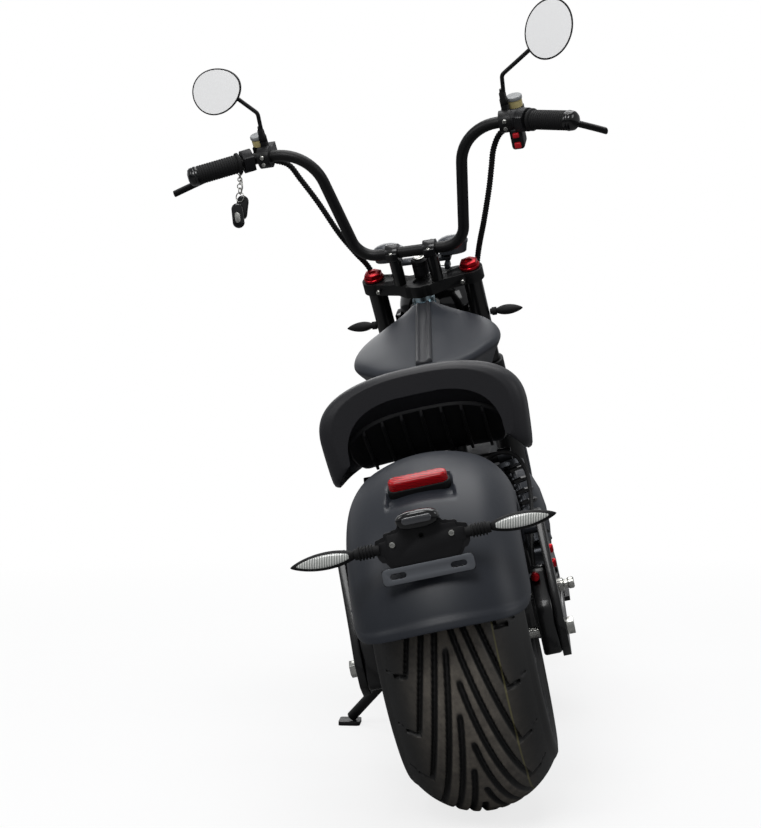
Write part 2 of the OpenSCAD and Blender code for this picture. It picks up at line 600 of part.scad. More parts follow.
module yoke_plate(h, back) {
    half = [[0, -back], [26, -back], [46, -6], [fork_half - 8, fork_offset - 26], [fork_half, fork_offset + 20], [60, fork_offset + 14], [26, 30], [0, 30]];
    linear_extrude(height = h) polygon(concat(half, [for (i = [len(half) - 2:-1:1]) [-half[i][0], half[i][1]]]));
}
module yoke(top, h, back) {
    translate([0, 0, top - h]) difference() {
        union() {
            yoke_plate(h, back);
            both_sides() translate([fork_half, fork_offset, 0]) cylinder(h = h, r = 25);
            cylinder(h = h, r = 27);
        }
        both_sides() translate([fork_half, fork_offset, -1]) cylinder(h = h + 2, r = fork_tube_r + fit);
    }
}
module top_yoke() {
    color("#17181a") steered() {
        difference() {
            yoke(yoke_top, yoke_h, 22);
            translate([0, 0, -60]) cylinder(h = 60, r = stem_r + fit);
        }
        both_sides() translate([fork_half - 12, fork_offset - 20, yoke_top - yoke_h / 2]) rotate([90, 0, 0]) cylinder(h = 14, r = 5);
        translate([0, 24, yoke_top]) cylinder(h = 26, r = 13);
    }
}
module bottom_yoke() {
    color("#17181a") steered() {
        yoke(low_yoke_top, 28, 24);
        translate([0, 0, low_yoke_top - 1]) cylinder(h = -low_yoke_top - 8, r = stem_r);
    }
}
module stem_nut() {
    color("#b9c0c4") steered() translate([0, 0, -head_top + seat_gap]) difference() {
        union() {
            cylinder(h = 14, r = 23);
            translate([0, 0, 14]) cylinder(h = head_top - yoke_h + yoke_top - 14 - 2 * seat_gap, r = 19);
        }
        translate([0, 0, -1]) cylinder(h = 50, r = stem_r + fit);
        for (k = [0:7]) rotate([0, 0, 45 * k]) translate([20.5, -3, 2]) cube([6, 6, 8]);
    }
}
module fork_tubes() {
    color("#1a1b1d") steered() both_sides() translate([fork_half, fork_offset, 0]) {
        translate([0, 0, -430]) cylinder(h = 428, r = fork_tube_r);
    }
}
module fork_sliders() {
    color("#26272a") steered() both_sides() translate([fork_half, fork_offset, 0]) difference() {
        union() {
            translate([0, 0, -fork_len + 24]) cylinder(h = fork_len - 24 + slider_top, r = slider_r);
            translate([0, 0, slider_top - 16]) cylinder(h = 16, r = slider_r + 3);
            translate([-16, -20, -fork_len - 24]) cube([32, 40, 50]);
        }
        translate([0, 0, -440]) cylinder(h = 100, r = fork_tube_r + fit);
        translate([-40, 0, -fork_len]) rotate([0, 90, 0]) cylinder(h = 80, r = front_axle_r + fit);
    }
}
module fork_caps() {
    color("#b3202c") steered() both_sides() translate([fork_half, fork_offset, -2 + seat_gap]) {
        cylinder(h = 5, r = 20);
        translate([0, 0, 5]) cylinder(h = 8, r = 19, $fn = 6);
    }
}
module front_axle() {
    color("silver") steered() translate([0, fork_offset, -fork_len]) {
        cross_bar(front_axle_r, -fork_half - 22, fork_half + 22);
        both_sides() {
            translate([fork_half + 16 + seat_gap, 0, 0]) rotate([0, 90, 0]) cylinder(h = 9, r = 12, $fn = 6);
            cross_bar(10, 32 + seat_gap, fork_half - 16 - seat_gap);
        }
    }
}
module front_caliper() {
    x = -front_disc_at - disc_t;
    color("#26272a") steered() translate([0, fork_offset, -fork_len]) {
        translate([x - 30, -100, 60]) cube([28, 50, 60]);
        translate([x + disc_t + 2, -94, 66]) cube([14, 40, 50]);
        translate([x - 30, -94, 124]) cube([34 + disc_t + 12, 40, 8]);
        translate([x - 8, -94, 120]) cube([6, 40, 6]);
        translate([x + disc_t + 10, -94, 110]) cube([6, 40, 16]);
        translate([-fork_half + slider_r + seat_gap, -80, 70]) cube([14, 88, 10]);
    }
}
// Radius of the front mudguard, clear of the tyre
fender_r = front_r + 20;
module front_fender() {
    wall = 3;
    half = front_w / 2 + 10;
    line = [[fender_r, 0], [fender_r - 3, half * 0.5], [fender_r - 12, half * 0.85], [fender_r - 26, half], [fender_r - 44, half + 1]];
    in_line = [for (q = line) [q[0] - wall, max(q[1] - wall, 0)]];
    ring = concat(line, [for (i = [len(line) - 1:-1:0]) in_line[i]]);
    color("#2e2f32") steered() translate([0, fork_offset, -fork_len]) {
        both_sides() rotate([0, 90, 0]) rotate([0, 0, 75]) rotate_extrude(angle = 150, $fn = 96) polygon(ring);
        both_sides() translate([half - 0.5, -14, 222]) cube([fork_half - slider_r - 3 - seat_gap - half + 0.5, 28, fender_r - 34 - 222]);
    }
}

// Handlebar and controls

sweep_back = -62;
grip_out = [grip_end - 6, sweep_back, bar_high + 8];
bar_right = [[0, 0, bar_low], [106, 0, bar_low], [150, 0, bar_high], [262, 0, bar_high], grip_out];
function reversed(p) = [for (i = [len(p) - 1:-1:0]) p[i]];
module handlebar() {
    right = concat(rounded_path([for (i = [0:3]) bar_right[i]], 46, 6), corner(bar_right[2], bar_right[3], bar_right[4], 24, 3), [grip_out]);
    bends = [for (i = [1:len(right) - 1]) if (norm(right[i] - bar_right[3]) > 0.01) right[i]];
    color("#17181a") steered() tube_along(concat(reversed(mirrored(bends)), bends), bar_r, 16, [0, 1, 0]);
}
module bar_risers() {
    color("#17181a") steered() both_sides() translate([38, 0, 0]) difference() {
        union() {
            translate([0, 0, yoke_top + seat_gap]) cylinder(h = bar_low - yoke_top - 6, r = 12);
            translate([-12, 0, bar_low]) cross_bar(bar_r + 7, 0, 24);
            translate([-10, -bar_r - 9, bar_low - 7]) cube([20, 2 * bar_r + 18, 14]);
        }
        translate([-20, 0, bar_low]) cross_bar(bar_r + fit + 0.1, 0, 44);
    }
}
grip_dir = unit(grip_out - [262, 0, bar_high]);
grip_start = grip_out - grip_dir * 92;
module on_grip(from) {
    both_sides() aimed(grip_start + grip_dir * from, grip_dir) children();
}
module grips() {
    color("#18181a") steered() {
        on_grip(0) difference() {
            union() {
                cylinder(h = 96, r = grip_r);
                cylinder(h = 5, r = grip_r + 3);
                translate([0, 0, 96]) cylinder(h = 8, r1 = grip_r, r2 = grip_r - 5);
            }
            translate([0, 0, -1]) cylinder(h = 93 + 0.3, r = bar_r + 0.25);
        }
    }
}
module switch_pods() {
    color("#131315") steered() on_grip(-26) difference() {
        union() {
            cylinder(h = 20, r = 22);
            translate([-14, -22, 0]) cube([28, 26, 20]);
            translate([-12, 8, 2]) cube([36, 14, 16]);
        }
        translate([0, 0, -1]) cylinder(h = 28, r = bar_r + 0.5);
    }
}
module brake_masters() {
    color("#17181a") steered() both_sides() translate([238, 0, bar_high]) difference() {
        union() {
            cross_bar(21, -12, 11);
            translate([-12, 14, -12]) cube([23, 12, 24]);
            translate([-12, 25, -12]) cube([42, 20, 24]);
            translate([0, 15, 10]) cylinder(h = 18, r = 8);
        }
        cross_bar(bar_r + fit, -60, 60);
    }
}
module reservoirs() {
    color("#d8c060") steered() both_sides() translate([254, 35, bar_high + 12 + seat_gap]) {
        cylinder(h = 16, r = 14);
        translate([0, 0, 16]) cylinder(h = 6, r = 15);
    }
}
lever_path = [[269.5, 35, 298], [300, 36, 289], [350, 16, 281], [400, -24, 277], [424, -46, 276]];
module brake_levers() {
    color("#1a1a1c") steered() both_sides() tube_along(lever_path, 5.5, 8, [0, 0, 1]);
}
// Mirrors: side, then the stalk's corners, the middle of the head, its half width, half height and turn
mirror_rows = [
    [[-238, 15, 331.3], [-234, 15, 388], [-268, 19, 424], [-300, 12, 446], 50, 43, 14],
    [[238, 15, 331.3], [244, 15, 388], [322, 17, 439], [346, 12, 462], 43, 56, -24]];
module mirrors() {
    color("#141416") steered() for (m = mirror_rows) {
        tube_along(rounded_path([m[0], m[1], m[2]], 16, 4), 4, 8, [0, 1, 0]);
        translate(m[0]) cylinder(h = 22, r = 7);
        translate(m[3]) rotate([90 - rake + 6, 0, 0]) rotate([0, 0, m[6]]) scale([m[4], m[5], 1]) translate([0, 0, -14]) cylinder(h = 13, r = 1);
    }
}
module mirror_glass() {
    color("#c8ccd0") steered() for (m = mirror_rows)
        translate(m[3]) rotate([90 - rake + 6, 0, 0]) rotate([0, 0, m[6]]) scale([m[4] - 3, m[5] - 3, 1]) translate([0, 0, -1 + seat_gap]) cylinder(h = 2, r = 1);
}
module gauges() {
    color("#3a3c40") steered() {
        both_sides() translate([66, 64, 36]) rotate([-18, 0, 0]) {
            translate([0, 0, -20]) cylinder(h = 20, r1 = 26, r2 = 31);
            cylinder(h = 3, r = 32);
        }
        translate([-60, 50, 8]) cube([120, 20, 8]);
        both_sides() translate([48, 34, yoke_top + seat_gap]) cube([10, 20, 14]);
    }
}
module headlight() {
    color("#1a1b1d") steered() translate([0, 92, -110]) {
        rotate([-90 - rake + 4, 0, 0]) rotate_extrude() polygon([[0, -62], [40, -54], [66, -34], [78, 0], [80, 22], [74, 26], [0, 30]]);
        both_sides() translate([70, -40, -8]) cube([12, 30, 16]);
    }
}
module front_indicators() {
    color("#141416") steered() both_sides() translate([fork_half + 20, fork_offset + 8, -112]) {
        translate([-1, 0, 0]) cross_bar(6, 0, 12);
        translate([10, 0, 0]) indicator_pod(46);
    }
}
loom_rows = [
    [[216, 22, 284], [204, 24, 256], [190, 26, 222], [168, 26, 168], [142, 30, 94], [126, 46, 50], [114, 62, 14], [102.2, 62.2, -30]],
    [[-210, 22, 286], [-188, 24, 258], [-180, 26, 222], [-160, 28, 172], [-140, 34, 100], [-124, 48, 50], [-112, 62, 14], [-102.2, 62.2, -30]]];
module control_looms() {
    color("#0f0f10") steered() for (l = loom_rows) tube_along(l, 5, 8, [0, 1, 0]);
}
// The keys hang straight down from the left switch pod
key_top = [-grip_start[0] + grip_dir[0] * 3, grip_start[1] - grip_dir[1] * 3, grip_start[2] - bar_r - 1.5];
module key_fobs() {
    color("#141416") steered() {
        mirror([1, 0, 0]) aimed(grip_start - grip_dir * 3, grip_dir) rotate_extrude() translate([bar_r + 1.6, 0]) circle(r = 1.2, $fn = 16);
        translate(key_top) rotate([0, 0, -steer_turn]) rotate([-rake, 0, 0]) rotate([0, lean, 0]) {
            translate([-1.2, -1.2, -56]) cube([2.4, 2.4, 56]);
            translate([-9, -6, -108]) cube([18, 12, 54]);
        }
    }
}

frame();
head_tube();
battery_box();
side_covers();
foot_boards();
tank();
tank_strip();
seat();
seat_pan();
swingarm();
shocks();
shock_springs();
rear_fender();
tail_light();
plate_bracket();
plate_lamp();
rear_indicators();
rear_indicator_lenses();
rear_axle();
rear_caliper();
stand_bracket();
rear_brake_hose();
side_stand();
top_yoke();
bottom_yoke();
stem_nut();
fork_tubes();
fork_sliders();
fork_caps();
bar_risers();
handlebar();
grips();
switch_pods();
brake_masters();
brake_levers();
reservoirs();
mirrors();
mirror_glass();
gauges();
headlight();
front_fender();
front_indicators();
front_caliper();
front_axle();
control_looms();
key_fobs();
rear_tyre();
rear_rim();
rear_disc();
front_tyre();
front_rim();
front_disc();
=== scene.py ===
import math
import bpy
import numpy as np
from mathutils import Matrix, Vector


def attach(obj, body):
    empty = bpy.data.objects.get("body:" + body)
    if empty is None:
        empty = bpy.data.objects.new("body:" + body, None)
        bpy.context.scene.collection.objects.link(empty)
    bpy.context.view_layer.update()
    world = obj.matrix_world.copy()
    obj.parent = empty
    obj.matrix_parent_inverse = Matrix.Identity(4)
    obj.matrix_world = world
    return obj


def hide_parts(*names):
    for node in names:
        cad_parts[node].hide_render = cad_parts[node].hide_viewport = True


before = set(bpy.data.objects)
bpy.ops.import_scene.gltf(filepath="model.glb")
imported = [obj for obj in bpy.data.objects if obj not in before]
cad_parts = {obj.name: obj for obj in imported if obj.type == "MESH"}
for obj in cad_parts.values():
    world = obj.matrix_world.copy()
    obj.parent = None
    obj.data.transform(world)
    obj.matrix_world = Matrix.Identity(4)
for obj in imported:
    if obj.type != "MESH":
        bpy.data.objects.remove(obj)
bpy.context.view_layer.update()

# Studio: a white floor that runs into a white surround, a soft world and two large soft boxes.
# The scooter is photographed from behind at saddle height with a long lens.
bpy.context.scene.view_settings.view_transform = "Standard"


def add_node(material, kind, inputs=None, **settings):
    made = material.node_tree.nodes.new(kind)
    for key, value in settings.items():
        setattr(made, key, value)
    for key, value in (inputs or {}).items():
        if isinstance(value, tuple) and isinstance(value[0], bpy.types.Node):
            material.node_tree.links.new(value[0].outputs[value[1]], made.inputs[key])
        else:
            made.inputs[key].default_value = value
    return made


def hex_colour(code):
    parts = [int(code[i:i + 2], 16) / 255 for i in (1, 3, 5)]
    return tuple(c / 12.92 if c <= 0.04045 else ((c + 0.055) / 1.055) ** 2.4 for c in parts) + (1.0,)


world = bpy.data.worlds.new("soft_surround")
bpy.context.scene.world = world
world.use_nodes = True
world.node_tree.nodes.clear()
path = add_node(world, "ShaderNodeLightPath")
through = add_node(world, "ShaderNodeMath", {0: (path, "Is Camera Ray"), 1: (path, "Is Transmission Ray")}, operation="MAXIMUM")
mirrored = add_node(world, "ShaderNodeMath", {0: (path, "Is Glossy Ray"), 1: 0.25}, operation="MULTIPLY")
seen = add_node(world, "ShaderNodeMath", {0: (through, 0), 1: (mirrored, 0)}, operation="MAXIMUM")
surround = add_node(world, "ShaderNodeBackground", {"Color": (0.82, 0.86, 0.93, 1), "Strength": 0.18})
white = add_node(world, "ShaderNodeBackground", {"Color": (1, 1, 1, 1), "Strength": 1.0})
either = add_node(world, "ShaderNodeMixShader", {0: (seen, 0), 1: (surround, 0), 2: (white, 0)})
add_node(world, "ShaderNodeOutputWorld", {"Surface": (either, 0)})

bpy.ops.mesh.primitive_plane_add(size=120, location=(0, 0, 0))
floor = bpy.context.object
floor.name = "studio_floor"
floor_paint = bpy.data.materials.new("matt_floor_paint")
floor_paint.use_nodes = True
floor_paint.node_tree.nodes["Principled BSDF"].inputs["Roughness"].default_value = 0.9
floor_paint.node_tree.nodes["Principled BSDF"].inputs["Specular IOR Level"].default_value = 0.1
path = add_node(floor_paint, "ShaderNodeLightPath")
shade = add_node(floor_paint, "ShaderNodeMix", {0: (path, "Is Camera Ray"), 6: (0.25, 0.25, 0.25, 1), 7: (0.92, 0.92, 0.92, 1)}, data_type="RGBA")
floor_paint.node_tree.links.new(shade.outputs[2], floor_paint.node_tree.nodes["Principled BSDF"].inputs["Base Color"])
where = add_node(floor_paint, "ShaderNodeTexCoord")
reach = add_node(floor_paint, "ShaderNodeVectorMath", {0: (where, "Object")}, operation="LENGTH")
far = add_node(floor_paint, "ShaderNodeMapRange", {0: (reach, "Value"), 1: 0.9, 2: 3.0, 3: 0.78, 4: 1.0})
lit = add_node(floor_paint, "ShaderNodeMath", {0: (path, "Is Camera Ray"), 1: (far, 0)}, operation="MULTIPLY")
glow = add_node(floor_paint, "ShaderNodeEmission", {"Color": (1, 1, 1, 1), "Strength": 1.0})
paint = (floor_paint.node_tree.nodes["Principled BSDF"], 0)
part_lit = add_node(floor_paint, "ShaderNodeMixShader", {0: (lit, 0), 1: paint, 2: (glow, 0)})
floor_paint.node_tree.links.new(part_lit.outputs[0], floor_paint.node_tree.nodes["Material Output"].inputs["Surface"])
floor.data.materials.append(floor_paint)

for name, place, aim, size, power in (
    ("soft_box_behind", (-0.9, -2.6, 3.2), (0.0, 0.2, 0.5), 1.6, 68),
    ("soft_box_left", (-2.8, -0.6, 2.2), (-0.1, 0.4, 0.5), 1.2, 16),
    ("soft_box_right", (2.8, -0.4, 2.2), (0.0, 0.4, 0.5), 1.2, 16),
    ("soft_box_top", (0.0, 1.0, 3.2), (0.0, 0.5, 0.5), 2.4, 64),
    ("soft_box_front", (-0.8, 4.2, 2.0), (0.0, 0.6, 0.6), 1.8, 20),
):
    bpy.ops.object.light_add(type="AREA", location=place)
    lamp = bpy.context.object
    lamp.name = name
    lamp.data.size = size
    lamp.data.energy = power
    lamp.rotation_euler = (Vector(aim) - Vector(place)).to_track_quat("-Z", "Y").to_euler()

bpy.ops.object.camera_add(location=(0.0555, -2.6205, 0.6987))
camera = bpy.context.object
camera.rotation_euler = Vector((-0.0863, 0.9952, -0.0459)).to_track_quat("-Z", "Y").to_euler()
camera.data.sensor_width = 36
camera.data.lens = 77.98
camera.data.clip_end = 60
bpy.context.scene.camera = camera

# The two places that pieces are made in: the upright scooter, leaned on its stand,
# and the fork's own axes, with X across, Y forward and Z up the steering stem.
LEAN, TURN, RAKE = math.radians(12.4), math.radians(-11.8), math.radians(28.5)
ON_SCOOTER = Matrix.Rotation(-LEAN, 4, "Y")
ON_FORK = ON_SCOOTER @ Matrix.Translation((0, 0.928, 0.821)) @ Matrix.Rotation(RAKE, 4, "X") @ Matrix.Rotation(TURN, 4, "Z")
AXLE_Z, FORK_LEN, FORK_OUT, LEG_OUT = 0.240842, 0.628348, 0.032, 0.0986


def choose(*things):
    if bpy.context.object and bpy.context.object.mode == "EDIT":
        bpy.ops.object.mode_set(mode="OBJECT")
    bpy.ops.object.select_all(action="DESELECT")
    for thing in things:
        thing.select_set(True)
    bpy.context.view_layer.objects.active = things[-1]
    return things[-1]


def edit(thing):
    choose(thing)
    bpy.ops.object.mode_set(mode="EDIT")
    bpy.ops.mesh.select_all(action="SELECT")


def tidy_skin(thing, merge=0.00001):
    edit(thing)
    bpy.ops.mesh.remove_doubles(threshold=merge)
    bpy.ops.mesh.select_all(action="SELECT")
    bpy.ops.mesh.normals_make_consistent(inside=False)
    bpy.ops.object.mode_set(mode="OBJECT")


def modify(thing, kind, **settings):
    choose(thing)
    made = thing.modifiers.new(kind.lower(), kind)
    for key, value in settings.items():
        setattr(made, key, value)
    bpy.ops.object.modifier_apply(modifier=made.name)


def settle(thing, place):
    choose(thing)
    thing.matrix_world = place @ thing.matrix_world
    bpy.ops.object.transform_apply(location=True, rotation=True, scale=True)


def fit_piece(thing, name, place, body, material, instead=(), angle=40):
    settle(thing, place)
    thing.name = name
    thing.data.name = name
    thing.data.materials.clear()
    thing.data.materials.append(material)
    if angle:
        bpy.ops.object.shade_smooth_by_angle(angle=math.radians(angle))
    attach(thing, body)
    if instead:
        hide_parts(*instead)
    return thing


def together(things):
    choose(*things)
    if len(things) > 1:
        bpy.ops.object.join()
    return bpy.context.object


def other_side(thing):
    choose(thing)
    bpy.ops.object.duplicate()
    twin = bpy.context.object
    twin.scale = (-1, 1, 1)
    bpy.ops.object.transform_apply(location=True, rotation=True, scale=True)
    tidy_skin(twin, 0.0000001)
    return twin


def with_other_side(thing):
    bpy.context.view_layer.update()
    settle(thing, Matrix.Identity(4))
    return together([other_side(thing), thing])


# Finishes are grown from the base colour by slow mottling, with a fine grain for gloss and bump.
# The grain is a real size in metres, drawn as coarse as the picture can show.
def finish_of(name, colour, gloss, grain=0.004, bump=0.02, shade=0.12, metallic=0.0, coat=0.0, scuff=0.06, shine=0.25):
    material = bpy.data.materials.new(name)
    material.use_nodes = True
    shader = material.node_tree.nodes["Principled BSDF"]
    where = add_node(material, "ShaderNodeTexCoord")
    cloud = add_node(material, "ShaderNodeTexNoise", {"Vector": (where, "Object"), "Scale": 9.0, "Detail": 3.0})
    fine = add_node(material, "ShaderNodeTexNoise", {"Vector": (where, "Object"), "Scale": 1.0 / grain, "Detail": 2.0})
    base = hex_colour(colour)
    dark = tuple(c * (1 - shade) for c in base[:3]) + (1,)
    light = tuple(min(1, c * (1 + shade)) for c in base[:3]) + (1,)
    tone = add_node(material, "ShaderNodeMix", {0: (cloud, 0), 6: dark, 7: light}, data_type="RGBA")
    rough = add_node(material, "ShaderNodeMapRange", {0: (fine, 0), 3: gloss - scuff, 4: gloss + scuff})
    relief = add_node(material, "ShaderNodeBump", {"Height": (fine, 0), "Strength": 1.0, "Distance": bump * grain})
    material.node_tree.links.new(tone.outputs[2], shader.inputs["Base Color"])
    material.node_tree.links.new(rough.outputs[0], shader.inputs["Roughness"])
    material.node_tree.links.new(relief.outputs[0], shader.inputs["Normal"])
    shader.inputs["Metallic"].default_value = metallic
    shader.inputs["Specular IOR Level"].default_value = 0.5 if metallic > 0.3 else shine
    shader.inputs["Coat Weight"].default_value = coat
    shader.inputs["Coat Roughness"].default_value = 0.08
    return material


satin_charcoal = finish_of("satin_charcoal_paint", "#26292f", 0.42, 0.0015, 0.03, 0.08)
gloss_black = finish_of("gloss_black_paint", "#0c0c0d", 0.3, 0.002, 0.02, 0.1, coat=0.3)
satin_black = finish_of("satin_black_powder_coat", "#0f0f10", 0.42, 0.0015, 0.06, 0.12)
moulded_black = finish_of("moulded_black_abs", "#121214", 0.5, 0.0012, 0.08, 0.12)
shiny_abs = finish_of("polished_black_abs", "#0d0d0e", 0.14, 0.003, 0.01, 0.1, coat=0.5, scuff=0.03)
black_rubber = finish_of("moulded_black_rubber", "#101011", 0.68, 0.0012, 0.1, 0.15)
bright_steel = finish_of("bright_plated_steel", "#b9b9b4", 0.26, 0.002, 0.03, 0.08, metallic=1.0)
zinc_steel = finish_of("blue_white_zinc_plate", "#a9bcc4", 0.3, 0.002, 0.04, 0.1, metallic=1.0)
red_anodised = finish_of("red_anodised_aluminium", "#a3101c", 0.28, 0.002, 0.03, 0.1, metallic=0.85)
dark_alloy = finish_of("dark_anodised_alloy", "#3c3e42", 0.34, 0.002, 0.03, 0.1, metallic=0.7)


def skin_over(name, rows, loop=True, caps=True):
    """A grid is laid over rows of points in millimetres, and closed where it meets itself."""
    across, along = len(rows[0]) + (1 if loop else 0), len(rows)
    bpy.ops.mesh.primitive_grid_add(x_subdivisions=across - 1, y_subdivisions=along - 1)
    made = bpy.context.object
    made.name = name
    points = [list(row) + ([row[0]] if loop else []) for row in rows]
    made.data.vertices.foreach_set("co", np.array(points, float).reshape(-1) * 0.001)
    made.data.update()
    edit(made)
    bpy.ops.mesh.remove_doubles(threshold=0.000001)
    if caps:
        bpy.ops.mesh.select_all(action="SELECT")
        bpy.ops.mesh.fill_holes(sides=0)
    bpy.ops.mesh.select_all(action="SELECT")
    bpy.ops.mesh.normals_make_consistent(inside=False)
    bpy.ops.object.mode_set(mode="OBJECT")
    return made


def turned(name, outline, steps=48):
    """An outline of (radius, height) in millimetres is spun round Z."""
    rows = [[(r * math.cos(2 * math.pi * k / steps), r * math.sin(2 * math.pi * k / steps), z) for k in range(steps)] for r, z in outline]
    return skin_over(name, rows)


def smooth_line(points, count):
    """A smooth line through points, as count points spaced evenly along it."""
    p = np.array(points, float)
    q = np.vstack([2 * p[0] - p[1], p, 2 * p[-1] - p[-2]])
    out = []
    for i in range(1, len(q) - 2):
        t = np.linspace(0, 1, 24, endpoint=False)[:, None]
        out.append(0.5 * (2 * q[i] + (q[i + 1] - q[i - 1]) * t + (2 * q[i - 1] - 5 * q[i] + 4 * q[i + 1] - q[i + 2]) * t ** 2
                          + (3 * q[i] - q[i - 1] - 3 * q[i + 1] + q[i + 2]) * t ** 3))
    line = np.vstack(out + [p[-1:]])
    far = np.concatenate([[0], np.cumsum(np.linalg.norm(np.diff(line, axis=0), axis=1))])
    return np.array([[np.interp(s, far, line[:, k]) for k in range(3)] for s in np.linspace(0, far[-1], count)])


def denser(rows, steps, closed=False):
    """Rows of points are filled in along their first axis by a smooth curve through all of them."""
    a = np.array(rows, float)
    q = np.concatenate([a[-1:], a, a[:2]]) if closed else np.concatenate([2 * a[:1] - a[1:2], a, 2 * a[-1:] - a[-2:-1]])
    out = []
    for i in range(1, len(q) - 2):
        for t in np.arange(steps) / steps:
            out.append(0.5 * (2 * q[i] + (q[i + 1] - q[i - 1]) * t + (2 * q[i - 1] - 5 * q[i] + 4 * q[i + 1] - q[i + 2]) * t ** 2
                              + (3 * q[i] - q[i - 1] - 3 * q[i + 1] + q[i + 2]) * t ** 3))
    return np.array(out if closed else out + [a[-1]])


def rounded(points, radius, steps=7):
    """Straight runs joined by arcs, as a bent tube is."""
    out = [np.array(points[0], float)]
    for a, p, b in zip(points, points[1:], points[2:]):
        a, p, b = (np.array(q, float) for q in (a, p, b))
        u, v = (a - p) / np.linalg.norm(a - p), (b - p) / np.linalg.norm(b - p)
        half = math.acos(float(u @ v)) / 2
        c = p + (u + v) / np.linalg.norm(u + v) * radius / math.sin(half)
        s, e, w = p + u * radius / math.tan(half) - c, p + v * radius / math.tan(half) - c, math.pi - 2 * half
        out += [c + (s * math.sin((1 - k / steps) * w) + e * math.sin(k / steps * w)) / math.sin(w) for k in range(steps + 1)]
    return np.array(out + [np.array(points[-1], float)])


def drawn_tube(name, line, radius, sides=16, flat=1.0, aside=(0, 0, 1)):
    """A round or oval section is drawn along a line; radius may change with the point's number."""
    line = np.array(line, float)
    rows = []
    for i, p in enumerate(line):
        t = line[min(i + 1, len(line) - 1)] - line[max(i - 1, 0)]
        t = t / np.linalg.norm(t)
        u = np.cross(np.array(aside, float), t)
        u = u / np.linalg.norm(u)
        v = np.cross(t, u)
        r = radius(i) if callable(radius) else radius
        rows.append([p + r * (u * math.cos(2 * math.pi * k / sides) + v * flat * math.sin(2 * math.pi * k / sides)) for k in range(sides)])
    return skin_over(name, rows)


def aim_z(at, towards, twist=0.0):
    z = Vector(towards).normalized()
    return Matrix.Translation(Vector(at) * 0.001) @ z.to_track_quat("Z", "Y").to_matrix().to_4x4() @ Matrix.Rotation(twist, 4, "Z")


def eased_copy(node, name, width, body, material, angle=30, dissolve=0.6):
    """The CAD piece with its edges rounded, as a cast or cut part has them."""
    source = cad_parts[node]
    made = source.copy()
    made.data = source.data.copy()
    for key in list(made.keys()):
        del made[key]
    made.parent = None
    made.matrix_world = Matrix.Identity(4)
    bpy.context.scene.collection.objects.link(made)
    edit(made)
    bpy.ops.mesh.remove_doubles(threshold=0.00001)
    bpy.ops.mesh.dissolve_limited(angle_limit=math.radians(dissolve))
    bpy.ops.object.mode_set(mode="OBJECT")
    if width:
        modify(made, "BEVEL", width=width, segments=2, limit_method="ANGLE", angle_limit=math.radians(angle), use_clamp_overlap=True)
    return fit_piece(made, name, Matrix.Identity(4), body, material, (node,), 35)


def wear(material, *nodes):
    for node in nodes:
        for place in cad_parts[node].material_slots:
            place.material = material


# Rear tyre: a wide, round-shouldered radial of black rubber, moulded with long curved grooves
# that sweep out from the middle to short cuts in the shoulders. The middle is dusty and brown with wear; the grooves
# are painted darker the deeper they are cut, which is painted shade.
tyre_rubber = bpy.data.materials.new("worn_tyre_rubber_with_groove_shade")
tyre_rubber.use_nodes = True
rubber = tyre_rubber.node_tree.nodes["Principled BSDF"]
where = add_node(tyre_rubber, "ShaderNodeTexCoord")
upright = add_node(tyre_rubber, "ShaderNodeVectorRotate", {"Vector": (where, "Object"), "Axis": (0, 1, 0), "Angle": LEAN}, rotation_type="AXIS_ANGLE")
across = add_node(tyre_rubber, "ShaderNodeSeparateXYZ", {0: (upright, 0)})
sideways = add_node(tyre_rubber, "ShaderNodeMath", {0: (across, 0)}, operation="ABSOLUTE")
middle = add_node(tyre_rubber, "ShaderNodeMapRange", {0: (sideways, 0), 1: 0.09, 2: 0.02, 3: 0.0, 4: 1.0}, interpolation_type="SMOOTHSTEP")
dust = add_node(tyre_rubber, "ShaderNodeTexNoise", {"Vector": (where, "Object"), "Scale": 60.0, "Detail": 6.0, "Roughness": 0.7})
dusty = add_node(tyre_rubber, "ShaderNodeMath", {0: (middle, 0), 1: (dust, 0)}, operation="MULTIPLY")
# Painted shade: the groove depth keeps the dust off the groove walls and darkens the grooves to near black the deeper
# they go; the dust on the open tread is real.
depth = add_node(tyre_rubber, "ShaderNodeAttribute", attribute_name="groove_depth")
open_top = add_node(tyre_rubber, "ShaderNodeMapRange", {0: (depth, "Fac"), 1: 0.15, 2: 0.6, 3: 1.0, 4: 0.0})
top_dust = add_node(tyre_rubber, "ShaderNodeMath", {0: (dusty, 0), 1: (open_top, 0)}, operation="MULTIPLY")
top_worn = add_node(tyre_rubber, "ShaderNodeMix", {0: (top_dust, 0), 6: hex_colour("#090909"), 7: hex_colour("#8a8277")}, data_type="RGBA")
dust_and_groove_shade = add_node(tyre_rubber, "ShaderNodeMix", {0: (depth, "Fac"), 6: (top_worn, 2), 7: hex_colour("#060606")}, data_type="RGBA")
line_near = add_node(tyre_rubber, "ShaderNodeMath", {0: (across, 0), 1: 0.0625}, operation="SUBTRACT")
line_away = add_node(tyre_rubber, "ShaderNodeMath", {0: (line_near, 0)}, operation="ABSOLUTE")
line_on = add_node(tyre_rubber, "ShaderNodeMapRange", {0: (line_away, 0), 1: 0.0016, 2: 0.0006, 3: 0.0, 4: 0.75})
lined = add_node(tyre_rubber, "ShaderNodeMix", {0: (line_on, 0), 6: (dust_and_groove_shade, 2), 7: hex_colour("#6f6a45")}, data_type="RGBA")
speck = add_node(tyre_rubber, "ShaderNodeBump", {"Height": (dust, 0), "Strength": 0.4, "Distance": 0.0006})
tyre_rubber.node_tree.links.new(lined.outputs[2], rubber.inputs["Base Color"])
tyre_rubber.node_tree.links.new(speck.outputs[0], rubber.inputs["Normal"])
rubber.inputs["Roughness"].default_value = 0.62


def smoothed(x):
    x = np.clip(x, 0, 1)
    return x * x * (3 - 2 * x)


